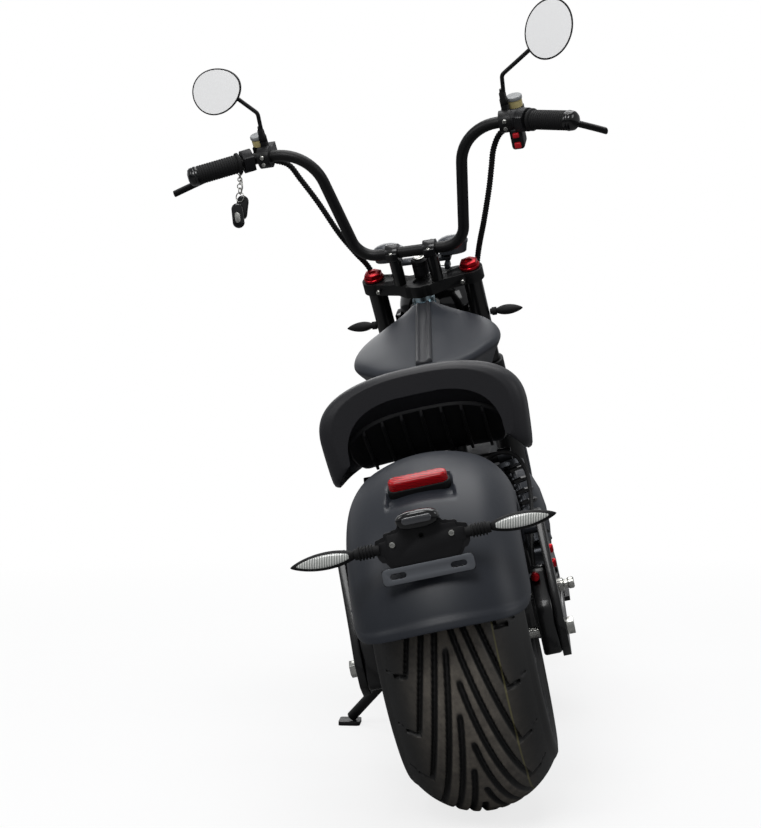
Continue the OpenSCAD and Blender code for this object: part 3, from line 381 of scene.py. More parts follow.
def moulded_tyre(name, radius, crown, edge, side, rows, half_cols, pattern):
    """The tread's arc and the side walls to the bead, with the pattern's depth cut in."""
    arc = np.radians(np.linspace(0, edge, half_cols))
    half = [(radius - crown + crown * math.cos(a), crown * math.sin(a), crown * a * 1000 * 0.001) for a in arc] + [(r, x, 999) for r, x in side]
    line = [(r, -x, -w) for r, x, w in half[:0:-1]] + half
    line = np.array(line)
    turn = np.linspace(0, 2 * math.pi, rows, endpoint=False)
    angle, w = np.meshgrid(np.degrees(turn), line[:, 2], indexing="ij")
    cut = np.where(np.abs(w) < 900, pattern(angle, np.clip(w, -400, 400)), 0)
    r = line[None, :, 0] - cut
    x = np.broadcast_to(line[None, :, 1], r.shape)
    rows_of = [[(x[i, j], r[i, j] * math.cos(turn[i]), r[i, j] * math.sin(turn[i])) for j in range(r.shape[1])] for i in range(rows)]
    made = skin_over(name, rows_of + [rows_of[0]], loop=True, caps=False)
    edge_r = np.hypot(*np.array([(v.co.y, v.co.z) for v in made.data.vertices]).T) * 1000
    side_x = np.abs(np.array([v.co.x for v in made.data.vertices]) * 1000)
    full = radius - crown + np.sqrt(np.maximum(crown ** 2 - side_x ** 2, 0))
    # groove_depth is the cut's depth fraction, which the rubber material turns into painted shade in the grooves.
    deep = np.where(edge_r > radius - 62, np.clip((full - edge_r) / 5.0, 0, 1), 0)
    made.data.attributes.new("groove_depth", "FLOAT", "POINT").data.foreach_set("value", deep)
    return made


def rear_pattern(angle, w):
    cut = np.zeros_like(w)
    for s in (1, -1):
        for k in range(16):
            start = 22.5 * k + (11.25 if s < 0 else 0)
            t = ((angle - start) % 360) / 76
            on = smoothed((1.0 - t) / 0.02) * smoothed(t / 0.05)
            centre = 4 + 66 * np.clip(t, 0, 1) ** 1.25
            groove = smoothed((5.6 - np.abs(s * w - centre) * 0.97) / 4.4) * on
            hook_at = ((angle - start - 76 + 180) % 360 - 180) * 4.15
            hook = smoothed((4.6 - np.abs(hook_at + (s * w - 68) * 0.12)) / 3.8) * smoothed((s * w - 66) / 2) * smoothed((94 - s * w) / 4)
            dash_at = ((angle - start - 6 + 180) % 360 - 180) * 4.15
            dash = smoothed((2.8 - np.abs(dash_at + (s * w - 98) * 0.3)) / 2.6) * smoothed((s * w - 94) / 3) * smoothed((108 - s * w) / 3) * 0.5
            cut = np.maximum(cut, np.maximum(np.maximum(groove, hook), dash))
    return 7.4 * cut


rear_side = [(181, 103.2), (176, 106.6), (168, 107.9), (160, 107), (156, 102), (152.6, 96.5), (152.6, 88), (168, 92), (190, 84), (214, 55), (219, 20)]
rear_tyre = moulded_tyre("rear_tyre_tread", 238, 119, 56, rear_side, 640, 56, rear_pattern)
fit_piece(rear_tyre, "rear_tyre_tread", ON_SCOOTER @ Matrix.Translation((0, 0, AXLE_Z)), "rear_wheel", tyre_rubber, ("rear_tyre",), 50)

# Front tyre: narrower and taller than the rear one, with the same kind of swept grooves.
front_rubber = finish_of("front_tyre_rubber", "#1b1b1b", 0.66, 0.003, 0.15, 0.2)


def front_pattern(angle, w):
    cut = np.zeros_like(w)
    for s in (1, -1):
        for k in range(20):
            start = 18 * k + (9 if s < 0 else 0)
            t = ((angle - start) % 360) / 34
            on = smoothed((1.0 - t) / 0.05) * smoothed(t / 0.08)
            cut = np.maximum(cut, smoothed((3.4 - np.abs(s * w - 3 - 44 * np.clip(t, 0, 1) ** 1.1)) / 1.8) * on)
    return 5.0 * cut


front_side = [(246, 53), (240, 55.6), (230, 56), (217, 54.5), (210, 48), (203.4, 40.5), (203.4, 31), (216, 40), (240, 40), (262, 22), (265, 8)]
front_tyre = moulded_tyre("front_tyre_tread", 280, 58, 62, front_side, 420, 26, front_pattern)
fit_piece(front_tyre, "front_tyre_tread", ON_FORK @ Matrix.Translation((0, FORK_OUT, -FORK_LEN)), "front_wheel", front_rubber, ("front_tyre",), 50)

# Wheels: satin black cast rims with steel brake discs; the rear one holds the hub motor.
rim_black = finish_of("satin_black_cast_alloy", "#151617", 0.4, 0.002, 0.05, 0.1, coat=0.1)
disc_steel = finish_of("ground_brake_disc", "#9b9c9d", 0.32, 0.0008, 0.1, 0.1, metallic=1.0)
eased_copy("rear_rim", "rear_wheel_rim", 0.0015, "rear_wheel", rim_black)
eased_copy("front_rim", "front_wheel_rim", 0.0015, "front_wheel", rim_black)
wear(disc_steel, "rear_disc", "front_disc")

# Rear mudguard: a deep pressed steel shell in satin charcoal paint, wrapped closely round the tyre.
# Its top is dished under the tail lamp, and its lip is rolled.
GUARD_R, GUARD_HALF, CROWN, CORNER = 291.0, 124.0, 185.0, 86.0
meet = math.asin((GUARD_HALF - CORNER) / (CROWN - CORNER))
corner_r = GUARD_R - CROWN + (CROWN - CORNER) * math.cos(meet)
section = [(GUARD_R - CROWN + CROWN * math.cos(t), CROWN * math.sin(t)) for t in np.linspace(0, meet, 7)[:-1]]
section += [(corner_r + CORNER * math.cos(t), GUARD_HALF - CORNER + CORNER * math.sin(t)) for t in np.linspace(meet, math.pi / 2, 13)]
section += [(GUARD_R - 99, GUARD_HALF)]
half_line = smooth_line([(r, x, 0) for r, x in section], 60)
full_line = np.vstack([half_line[:0:-1] * [1, -1, 1], half_line])
guard_rows = []
for k in range(190):
    row = []
    for j, (r, x, _) in enumerate(full_line):
        a = 27 + (138.6 - 17 * abs(2 * j / (len(full_line) - 1) - 1) ** 5.5) * k / 189
        down = (a - 117) * math.radians(1) * GUARD_R
        wide = 45 + 0.1 * (down + 30)
        dish = float(smoothed((wide - abs(x)) / 6) * smoothed((down + 26) / 7) * smoothed((52 - down) / 26)) * max(0, 12 - 0.1 * (down + 26))
        lip = 2.2 * float(smoothed((k - 184.5) / 1.4))
        rr = r - dish + lip
        row.append((x, rr * math.cos(math.radians(a)), rr * math.sin(math.radians(a))))
    guard_rows.append(row)
mudguard = skin_over("rear_mudguard", guard_rows, loop=False, caps=False)
modify(mudguard, "SOLIDIFY", thickness=0.004, offset=-1.0)
modify(mudguard, "BEVEL", width=0.0012, segments=2, limit_method="ANGLE", angle_limit=math.radians(60))
stay_parts = [mudguard]
for s in (1, -1):
    bpy.ops.mesh.primitive_cube_add(size=1, location=(s * 0.122, 0.042, 0.168), scale=(0.004, 0.024, 0.076))
    stay = bpy.context.object
    bpy.ops.object.transform_apply(location=True, rotation=True, scale=True)
    modify(stay, "BEVEL", width=0.0008, segments=2)
    boss = turned("boss", [(0, 123), (8, 123), (8, 143.4), (0, 143.4)], 24)
    settle(boss, Matrix.Translation((0, 0.042, 0.146)) @ Matrix.Rotation(s * math.pi / 2, 4, "Y"))
    stay_parts += [stay, boss]
mudguard = together(stay_parts)
fit_piece(mudguard, "rear_mudguard", ON_SCOOTER @ Matrix.Translation((0, 0, AXLE_Z)), "root", satin_charcoal, ("rear_fender",), 45)

# Tail lamp: a long red lens with rounded ends in a thin black gasket, with bars moulded inside.
red_lens = finish_of("clear_red_acrylic", "#8e0b12", 0.24, 0.004, 0.01, 0.25, coat=0.12, scuff=0.03)
red_shader = red_lens.node_tree.nodes["Principled BSDF"]
where = add_node(red_lens, "ShaderNodeTexCoord")
bars = add_node(red_lens, "ShaderNodeTexWave", {"Vector": (where, "Object"), "Scale": 150.0, "Distortion": 4.0, "Detail": 1.0}, bands_direction="Z")
inside = add_node(red_lens, "ShaderNodeMix", {0: (bars, 1), 6: hex_colour("#5e0409"), 7: hex_colour("#d8121e")}, data_type="RGBA")
red_lens.node_tree.links.new(inside.outputs[2], red_shader.inputs["Base Color"])
ON_LAMP = ON_SCOOTER @ Matrix.Translation((0, 0, AXLE_Z)) @ Matrix.Rotation(math.radians(27), 4, "X") @ Matrix.Translation((0, 0, GUARD_R * 0.001))


def pill_slab(name, half, r, low, high, soft):
    bpy.ops.mesh.primitive_cube_add(size=1, location=(0, 0, (low + high) * 0.0005), scale=(half * 0.002, r * 0.002, (high - low) * 0.001))
    made = bpy.context.object
    made.name = name
    bpy.ops.object.transform_apply(location=True, rotation=True, scale=True)
    edit(made)
    bpy.ops.mesh.select_all(action="DESELECT")
    bpy.ops.mesh.select_mode(type="EDGE")
    bpy.ops.object.mode_set(mode="OBJECT")
    for e in made.data.edges:
        a, b = (made.data.vertices[i].co for i in e.vertices)
        e.select = abs(a.z - b.z) > 0.0001
    bpy.ops.object.mode_set(mode="EDIT")
    bpy.ops.mesh.bevel(offset=r * 0.00098, segments=10, affect="EDGES")
    bpy.ops.object.mode_set(mode="OBJECT")
    modify(made, "BEVEL", width=soft * 0.001, segments=4, limit_method="ANGLE", angle_limit=math.radians(50))
    return made


tail_lens = pill_slab("tail_lens", 42, 10, -8, 12.5, 4.5)
fit_piece(tail_lens, "tail_lens", ON_LAMP, "root", red_lens, ("tail_light",), 40)
tail_gasket = pill_slab("tail_gasket", 44.5, 12.4, -14, -1.0, 1.2)
fit_piece(tail_gasket, "tail_lamp_gasket", ON_LAMP, "root", black_rubber, (), 40)

# Plate bracket: a moulded black carrier with a grey slotted bar, bolted to the mudguard with two bright screws.
ON_PLATE = ON_SCOOTER @ Matrix.Translation((0, -0.266, 0.433)) @ Matrix.Rotation(math.pi / 2, 4, "X")
bracket_grey = finish_of("grey_plated_bar", "#63666b", 0.38, 0.0012, 0.06, 0.08, metallic=0.2)


def cut_plate(name, outline, low, high, soft, corner=3.0):
    """A plate is cut to an outline in millimetres with its corners rounded."""
    pts = []
    for i, p in enumerate(outline):
        a, b = np.array(outline[i - 1], float), np.array(outline[(i + 1) % len(outline)], float)
        p = np.array(p, float)
        ra, rb = min(corner, np.linalg.norm(a - p) / 2.2), min(corner, np.linalg.norm(b - p) / 2.2)
        s, e = p + (a - p) / np.linalg.norm(a - p) * ra, p + (b - p) / np.linalg.norm(b - p) * rb
        pts += [(1 - t) ** 2 * s + 2 * t * (1 - t) * p + t * t * e for t in (0, 0.33, 0.67, 1)]
    bpy.ops.mesh.primitive_circle_add(vertices=len(pts), radius=1, fill_type="NGON")
    made = bpy.context.object
    made.name = name
    for v, q in zip(made.data.vertices, pts):
        v.co = (q[0] * 0.001, q[1] * 0.001, low * 0.001)
    made.data.update()
    edit(made)
    bpy.ops.mesh.extrude_region_move(TRANSFORM_OT_translate={"value": (0, 0, (high - low) * 0.001)})
    bpy.ops.mesh.select_all(action="SELECT")
    bpy.ops.mesh.normals_make_consistent(inside=False)
    bpy.ops.object.mode_set(mode="OBJECT")
    return made


def pierce(thing, cutters):
    for cutter in cutters:
        choose(thing)
        made = thing.modifiers.new("cut", "BOOLEAN")
        made.operation = "DIFFERENCE"
        made.object = cutter
        made.solver = "EXACT"
        bpy.ops.object.modifier_apply(modifier=made.name)
        bpy.data.objects.remove(cutter)


half_body = [(26, 30), (33, 20), (50, 20), (50, 12), (63, 12), (63, -12), (56, -12), (52, -22), (46, -30)]
carrier = cut_plate("carrier", half_body + [(-x, z) for x, z in half_body[::-1]], 0, 4, 0.6, 5)
bolt_hole = turned("bolt_hole", [(0, -10), (3, -10), (3, 10), (0, 10)], 24)
bolt_hole.location = (0, 0.008, 0)
pin_holes = []
for x, z in ((-26, -21), (26, -21)):
    hole = turned("pin_hole", [(0, -10), (2.2, -10), (2.2, 10), (0, 10)], 16)
    hole.location = (x * 0.001, z * 0.001, 0)
    pin_holes.append(hole)
pierce(carrier, [bolt_hole] + pin_holes)
modify(carrier, "BEVEL", width=0.0008, segments=2, limit_method="ANGLE", angle_limit=math.radians(60))
inner = [(23, 27), (30, 17), (47, 17), (47, 9), (59, 9), (59, -9), (53, -9), (49, -19), (43, -27)]
raised = cut_plate("raised", inner + [(-x, z) for x, z in inner[::-1]], 3.6, 5.2, 0.6, 4)
bolt_hole = turned("bolt_hole", [(0, -10), (4.2, -10), (4.2, 12), (0, 12)], 24)
bolt_hole.location = (0, 0.008, 0)
pierce(raised, [bolt_hole])
modify(raised, "BEVEL", width=0.0007, segments=2, limit_method="ANGLE", angle_limit=math.radians(60))
carrier = together([carrier, raised])
fit_piece(carrier, "plate_carrier", ON_PLATE, "root", moulded_black, (), 40)
back_block = eased_copy("plate_bracket", "plate_bracket_block", 0.0, "root", moulded_black)
slot_bar = cut_plate("slot_bar", [(62, -28), (62, -50), (-62, -50), (-62, -28)], 1.2, 5.0, 0.6, 6)
slots = []
for x in (-41, 41):
    slot_cut = pill_slab("slot_cut", 11, 4, -6, 12, 0.01)
    slot_cut.location = (x * 0.001, -0.039, 0)
    slots.append(slot_cut)
pierce(slot_bar, slots)
modify(slot_bar, "BEVEL", width=0.0007, segments=2, limit_method="ANGLE", angle_limit=math.radians(60))
fit_piece(slot_bar, "plate_slot_bar", ON_PLATE, "root", bracket_grey, (), 40)


def cap_screw(name, r, h, socket=0.55):
    """A dome-headed screw with a hexagon socket."""
    made = turned(name, [(0, 0), (r, 0), (r, h * 0.55), (r * 0.86, h * 0.9), (r * 0.6, h), (0, h)], 28)
    bpy.ops.mesh.primitive_cylinder_add(vertices=6, radius=r * socket * 0.001, depth=h * 0.0012, location=(0, 0, h * 0.001))
    pierce(made, [bpy.context.object])
    return made


screws = []
for x, z in ((-40, 3), (40, 3)):
    screw = cap_screw("screw", 4.4, 3)
    settle(screw, Matrix.Translation((x * 0.001, z * 0.001, 0.0048)))
    screws.append(screw)
fit_piece(together(screws), "plate_screws", ON_PLATE, "root", bright_steel, (), 40)

# Plate lamp: a glossy black hood that throws light down on the plate, with a clear strip of diodes.
lamp_rows = []
for depth, grow in ((0, 1.0), (10, 1.0), (18, 0.97), (23, 0.86), (25, 0.6), (25.5, 0.0)):
    lamp_rows.append([(30 * math.copysign(abs(math.cos(a)) ** 0.75, math.cos(a)) * grow, 13 + 12.5 * math.copysign(abs(math.sin(a)) ** 0.8, math.sin(a)) * (grow * 0.6 + 0.4), depth) for a in np.radians(np.arange(0, 360, 10))])
lamp_hood = skin_over("lamp_hood", lamp_rows)
modify(lamp_hood, "SUBSURF", levels=1, render_levels=1)
settle(lamp_hood, Matrix.Translation((0, 0.018, 0)))
fit_piece(lamp_hood, "plate_lamp_hood", ON_PLATE, "root", shiny_abs, ("plate_lamp",), 50)
lamp_glass = finish_of("smoked_diode_strip", "#3c3d40", 0.12, 0.002, 0.01, 0.3, coat=1.0)
lamp_strip = pill_slab("lamp_strip", 20, 5, 20.0, 26.6, 1.5)
settle(lamp_strip, Matrix.Translation((0, 0.0315, 0)))
fit_piece(lamp_strip, "plate_lamp_strip", ON_PLATE, "root", lamp_glass, (), 40)

# Rear indicators: leaf-shaped black pods on ribbed rubber stalks, with clear lenses over a row of diodes.
clear_lens = finish_of("clear_ribbed_acrylic", "#c9ccc8", 0.16, 0.003, 0.02, 0.1, coat=1.0)
clear_shader = clear_lens.node_tree.nodes["Principled BSDF"]
where = add_node(clear_lens, "ShaderNodeTexCoord")
diodes = add_node(clear_lens, "ShaderNodeTexWave", {"Vector": (where, "Object"), "Scale": 95.0, "Distortion": 1.5, "Detail": 2.0}, bands_direction="X")
lens_tone = add_node(clear_lens, "ShaderNodeMix", {0: (diodes, 1), 6: hex_colour("#8d918d"), 7: hex_colour("#f2f3ee")}, data_type="RGBA")
clear_lens.node_tree.links.new(lens_tone.outputs[2], clear_shader.inputs["Base Color"])


def leaf_pod(name, start, long, tall, deep):
    """A pod lofted along X from a stalk to a point, flatter behind than in front."""
    rows = []
    for t, h, d in ((0, 0.0, 0.0), (0, 0.34, 0.34), (0.04, 0.5, 0.5), (0.12, 0.68, 0.72), (0.25, 0.9, 0.95), (0.42, 1.0, 1.0), (0.6, 0.93, 0.85), (0.76, 0.72, 0.62), (0.88, 0.45, 0.38), (0.96, 0.2, 0.18), (1.0, 0.0, 0.0)):
        rows.append([(start + long * t, deep * d * math.cos(a) * (0.8 if math.cos(a) < 0 else 1.0), tall * h * math.sin(a) + (1 - t) * 0.0) for a in np.radians(np.arange(0, 360, 18))])
    made = skin_over(name, rows)
    modify(made, "SUBSURF", levels=2, render_levels=2)
    return made


def ribbed_stalk(name, start, long, r):
    line = [(0, 0), (r, 0)]
    for k in range(5):
        x = long * (0.25 + 0.13 * k)
        line += [(r, x), (r + 2.2, x + 0.6), (r + 2.2, x + 2.2), (r, x + 2.8)]
    made = turned(name, line + [(r, long), (0, long)], 28)
    settle(made, Matrix.Translation((start * 0.001, 0, 0)) @ Matrix.Rotation(math.pi / 2, 4, "Y"))
    return made


pod = leaf_pod("pod", 91, 90, 12.5, 14)
stalk = ribbed_stalk("stalk", 58, 34, 7.5)
pods = with_other_side(together([pod, stalk]))
fit_piece(pods, "rear_indicator_pods", ON_SCOOTER @ Matrix.Translation((0, -0.268, 0.433)), "root", black_rubber, ("rear_indicators",), 50)
lens = leaf_pod("lens", 99, 72, 8.6, 4.0)
settle(lens, Matrix.Translation((0, -0.0115, 0.001)))
lenses = with_other_side(lens)
fit_piece(lenses, "rear_indicator_windows", ON_SCOOTER @ Matrix.Translation((0, -0.268, 0.433)), "root", clear_lens, ("rear_indicator_lenses",), 50)

# Seat: moulded foam in soft black vinyl, with a thick rolled rim round the back and a welt under it.
seat_vinyl = finish_of("grained_black_vinyl", "#222225", 0.47, 0.0018, 0.12, 0.1)
seat_rows = [[176, 140, 646, 566, 526, 614], [186, 157, 654, 566, 508, 606], [204, 164, 657, 568, 498, 592], [234, 166, 657, 566, 494, 566],
             [270, 163, 652, 562, 497, 540], [310, 155, 643, 556, 503, 520], [360, 141, 632, 552, 510, 514], [415, 122, 625, 556, 520, 522],
             [465, 98, 622, 566, 534, 536], [505, 76, 620, 578, 552, 554], [528, 52, 610, 588, 572, 574]]


def under_seat(wide, low, hollow, turn):
    a = math.radians(turn)
    return wide * max(math.cos(a), 0) ** 0.7, low + 1 + (hollow + 1 - low) * math.sin(a) ** 0.8


def inner_half(w):
    return w * 168 / 166 - min(38 * 0.45, w * 168 / 166 * 0.4)


def seat_ring(y, w, top, mid, low, hollow):
    wide, w, hollow = inner_half(w), w * 168 / 166, max(hollow, low + 1)
    side = []
    for k in range(17):
        a = math.radians(90 - 90 * k / 16)
        side.append((w * max(math.cos(a), 0) ** 0.82, mid + (top - mid) * math.sin(a) ** 0.76))
    side += [(w * 0.985, mid - (mid - low) * 0.5), (w * 0.965, low + 7), (w * 0.935, low)]
    side += [under_seat(wide, low, hollow, a) for a in range(0, 91, 9)]
    return [(x, y, z) for x, z in side] + [(-x, y, z) for x, z in side[-2:0:-1]]


seat_skin = denser([seat_ring(*row) for row in seat_rows], 4)
seat_skin = np.array([denser(row, 2, closed=True) for row in seat_skin])
seat = skin_over("seat", seat_skin)
modify(seat, "BEVEL", width=0.0055, segments=4, limit_method="ANGLE", angle_limit=math.radians(52))
fit_piece(seat, "seat_cover", ON_SCOOTER, "root", seat_vinyl, ("seat",), 60)
modify(seat, "WEIGHTED_NORMAL", weight=80, keep_sharp=True)

# Seat base: a ribbed black moulding under the foam, held up by two posts.
pan_skin = []
for y, w, top, mid, low, hollow in seat_rows[2:9]:
    hollow = max(hollow, low + 1)
    arc = [(a, under_seat(inner_half(w), low, hollow, a)) for a in range(36, 91, 6)]
    side = [(x - (0.5 if a < 90 else 0), z - 0.5) for a, (x, z) in arc[::-1]] + [(x - (6 if a < 90 else 0), z - 6) for a, (x, z) in arc]
    pan_skin.append([(x, y, z) for x, z in side] + [(-x, y, z) for x, z in side[-2:0:-1]])
pan = skin_over("pan", denser(pan_skin, 4))
modify(pan, "BEVEL", width=0.001, segments=2, limit_method="ANGLE", angle_limit=math.radians(60))
fit_piece(pan, "seat_base", ON_SCOOTER, "root", moulded_black, ("seat_pan",), 45)
ribs = []
for x in (-96, -64, -32, 0, 32, 64, 96):
    points = []
    for y, w, top, mid, low, hollow in seat_rows[2:6]:
        hollow = max(hollow, low + 1)
        part = (abs(x) / inner_half(w)) ** (1 / 0.7)
        z = under_seat(inner_half(w), low, hollow, math.degrees(math.acos(part)))[1] - 5.5
        points += [(x * 0.001, y * 0.001, z * 0.001), (x * 0.001, y * 0.001, (z - 10) * 0.001)]
    bpy.ops.mesh.primitive_grid_add(x_subdivisions=1, y_subdivisions=3)
    rib = bpy.context.object
    rib.data.vertices.foreach_set("co", [c for p in points for c in p])
    modify(rib, "SOLIDIFY", thickness=0.005, offset=0.0)
    modify(rib, "BEVEL", width=0.0012, segments=2)
    ribs.append(rib)
fit_piece(together(ribs), "seat_base_ribs", ON_SCOOTER, "root", moulded_black, (), 40)

# Tank: a pressed teardrop in the same satin charcoal, with knee hollows at the back of its sides.
tank_rows = [[536, 36, 10, 16, 22], [548, 58, 12, 30, 34], [580, 88, 16, 52, 46], [620, 114, 19, 66, 62], [660, 132, 21, 74, 82],
             [703, 139, 23, 80, 100], [750, 136, 25, 82, 108], [800, 122, 28, 82, 98], [845, 98, 32, 74, 74], [880, 70, 34, 58, 50],
             [905, 40, 26, 36, 34]]


def tank_top(y):
    return 659 + (y - 546) * 113 / 358


def tank_ring(y, w, drop, deep, wl):
    top = tank_top(y)
    s = top - drop
    low, half = s - deep, min(17, w * 0.6)
    slope = (699 - 528) / 482
    under = max(528 + (y - 500) * slope + 22.3 * math.hypot(1, slope), low + 4)
    side = [(half, top), (half + (w - half) * 0.35, top - drop * 0.12), (half + (w - half) * 0.68, top - drop * 0.38), (w * 0.93, s + drop * 0.28),
            (w, s - deep * 0.06), (w * 0.97, s - deep * 0.2), ((w + wl) / 2, s - deep * 0.5), (wl, low + deep * 0.12), (wl - 8, low),
            (min(30, wl - 10), low), (min(25, wl - 12), under)]
    return [(x, y, z) for x, z in side] + [(-x, y, z) for x, z in side[::-1]]


tank_skin = denser([tank_ring(*row) for row in tank_rows], 6)
tank_skin = np.array([denser(row, 4, closed=True) for row in tank_skin])
tank = skin_over("tank", tank_skin)
modify(tank, "BEVEL", width=0.004, segments=3, limit_method="ANGLE", angle_limit=math.radians(55))
for v in tank.data.vertices:
    x, y, z = v.co * 1000
    near = math.exp(-((y - 612) / 42) ** 2 - ((z - tank_top(y) + 52) / 30) ** 2)
    v.co.x -= math.copysign(0.001 * 9 * near, x) if abs(x) > 40 else 0
fit_piece(tank, "tank_shell", ON_SCOOTER, "root", satin_charcoal, ("tank",), 60)

# Tank strip: a moulded channel with two raised edges, laid along the top of the tank.
strip_section = [(1, -0.6), (1, 3.5), (0.86, 7.5), (0.62, 8), (0.42, 5.2), (0, 4.2), (-0.42, 5.2), (-0.62, 8), (-0.86, 7.5), (-1, 3.5), (-1, -0.6)]
strip_rows = []
for y, wide, sink in [(895, 0.8, 2)] + [(y, 1.0 - 0.1 * max(0, (y - 800) / 90), 0) for y in range(890, 540, -15)] + [(540, 1, 0)]:
    strip_rows.append([(q * 15 * wide, y, tank_top(y) + 0.3 + h - sink) for q, h in strip_section])
strip = skin_over("strip", strip_rows)
modify(strip, "BEVEL", width=0.001, segments=2, limit_method="ANGLE", angle_limit=math.radians(25))
strip_grey = finish_of("satin_grey_abs", "#2b2c2f", 0.38, 0.0015, 0.03, 0.08)
fit_piece(strip, "tank_channel", ON_SCOOTER, "root", strip_grey, ("tank_strip",), 50)

# Frame: welded steel tube in black powder coat round a plain battery case, with bulged side covers.
wear(satin_black, "frame", "head_tube", "stand_bracket")
battery_case = finish_of("matt_battery_case", "#1c1d1f", 0.6, 0.002, 0.08, 0.12)
eased_copy("battery_box", "battery_case", 0.004, "root", battery_case)
eased_copy("foot_boards", "foot_rest_boards", 0.0012, "root", moulded_black)
covers = eased_copy("side_covers", "side_cover_panels", 0.0, "root", satin_charcoal, dissolve=0.01)

# Swingarm: two thick plates cut from alloy and painted gloss black, joined by a cross tube.
# The right plate carries red bolts, a red spacer and a plated peg.
eased_copy("swingarm", "swingarm_plates", 0.002, "root", gloss_black)
blocks = []
for s in (1, -1):
    block = cut_plate("block", [(-40, -30), (-30, 40), (10, 92), (44, 92), (62, 40), (96, 20), (96, -22), (20, -40)], 0, 26, 0, 10)
    modify(block, "BEVEL", width=0.004, segments=3, limit_method="ANGLE", angle_limit=math.radians(60))
    settle(block, Matrix.Translation((0.1175 if s > 0 else -0.1435, 0, AXLE_Z)) @ Matrix(((0, 0, 1, 0), (1, 0, 0, 0), (0, 1, 0, 0), (0, 0, 0, 1))))
    blocks.append(block)
fit_piece(together(blocks), "swingarm_axle_blocks", ON_SCOOTER, "root", gloss_black, (), 40)
cap = turned("cap", [(0, -4), (6, -4), (6.5, -3), (6.5, 10), (5.8, 12), (4, 12.6), (0, 12.6)], 28)
settle(cap, Matrix.Translation((0.1275, -0.002, 0.3215)) @ Matrix.Rotation(math.pi / 2, 4, "X"))
fit_piece(cap, "red_adjuster_cap", ON_SCOOTER, "root", red_anodised, (), 40)
rod = drawn_tube("rod", [(131, 4, 309), (124, -4, 303), (117, -10, 297)], 2.8, 14, aside=(0, 1, 0))
fit_piece(rod, "steel_adjuster_rod", ON_SCOOTER, "root", bright_steel, (), 40)
eased_copy("rear_axle", "rear_axle_hardware", 0.0008, "root", bright_steel)
eased_copy("rear_caliper", "rear_brake_caliper", 0.002, "root", satin_black)
red_bits = []
for y, z in ((50, 351), (50, 329)):
    bolt = cap_screw("bolt", 7, 5)
    settle(bolt, aim_z((156.2, y, z), (1, 0, 0)))
    red_bits.append(bolt)
spacer = turned("spacer", [(0, 0), (8, 0), (9, 1.5), (9, 17), (8, 19), (0, 19)], 28)
settle(spacer, aim_z((124, 50, 314), (1, 0, 0)))
red_bits.append(spacer)
fit_piece(together(red_bits), "red_swingarm_bolts", ON_SCOOTER, "root", red_anodised, (), 40)
peg = turned("peg", [(0, 0), (10, 0), (10, 7), (7, 9), (7, 14), (9, 16), (9, 22), (7, 24), (0, 24)], 28)
fit_piece(peg, "plated_peg", ON_SCOOTER @ aim_z((156.2, 100, 288), (1, 0, 0)), "root", bright_steel, (), 40)

# Shocks: grey bodies inside black coil springs, with a brake hose looped past the right one.
wear(dark_alloy, "shocks")
wear(gloss_black, "shock_springs")
hose_points = [(126, 55.9, 318.4), (128, 78, 346), (133, 112, 374), (138, 156, 396), (142, 200, 424), (142, 230, 458), (128, 252, 486), (100, 270, 492), (75, 290, 479.6)]
hose_line = smooth_line(hose_points, 60)
hose = drawn_tube("hose", hose_line, 3.4, 12, aside=(1, 0, 0))
fit_piece(hose, "rear_hose", ON_SCOOTER, "root", black_rubber, ("rear_brake_hose",), 60)

# Side stand: a forged leg with a flat foot, pulled up by a bright coil spring.
eased_copy("side_stand", "side_stand_leg", 0.001, "side_stand", satin_black)

# Yokes and fork: black alloy clamps round black tubes, with red hexagon caps and bright pinch bolts.
eased_copy("top_yoke", "top_yoke_clamp", 0.0016, "steering", satin_black)
eased_copy("bottom_yoke", "bottom_yoke_clamp", 0.0016, "steering", satin_black)
eased_copy("fork_sliders", "fork_slider_legs", 0.0016, "steering", rim_black)
wear(gloss_black, "fork_tubes")
wear(zinc_steel, "stem_nut")
wear(bright_steel, "front_axle")
caps = []
for s in (1, -1):
    cap = turned("cap", [(0, 0), (20.5, 0), (20.5, 4), (19.6, 5), (0, 5)], 40)
    bpy.ops.mesh.primitive_cylinder_add(vertices=6, radius=0.019, depth=0.0085, location=(0, 0, 0.00925))
    head = bpy.context.object
    modify(head, "BEVEL", width=0.0018, segments=3)
    bpy.ops.mesh.primitive_cylinder_add(vertices=24, radius=0.0075, depth=0.006, location=(0, 0, 0.0135))
    pierce(head, [bpy.context.object])
    cap = together([cap, head])
    settle(cap, Matrix.Translation((s * LEG_OUT, FORK_OUT, -0.0017)))
    caps.append(cap)
fit_piece(together(caps), "fork_top_caps", ON_FORK, "steering", red_anodised, ("fork_caps",), 35)
pinch = []
for s in (1, -1):
    bolt = cap_screw("bolt", 4.6, 4)
    settle(bolt, aim_z((s * 86.6, -2, -16), (0, -1, 0)))
    pinch.append(bolt)
for s in (1, -1):
    for f in (20, -20):
        bolt = cap_screw("bolt", 3.6, 3)
        settle(bolt, aim_z((s * 38, f, 71), (0, 0, 1)))
        pinch.append(bolt)
fit_piece(together(pinch), "yoke_bolts", ON_FORK, "steering", bright_steel, (), 35)

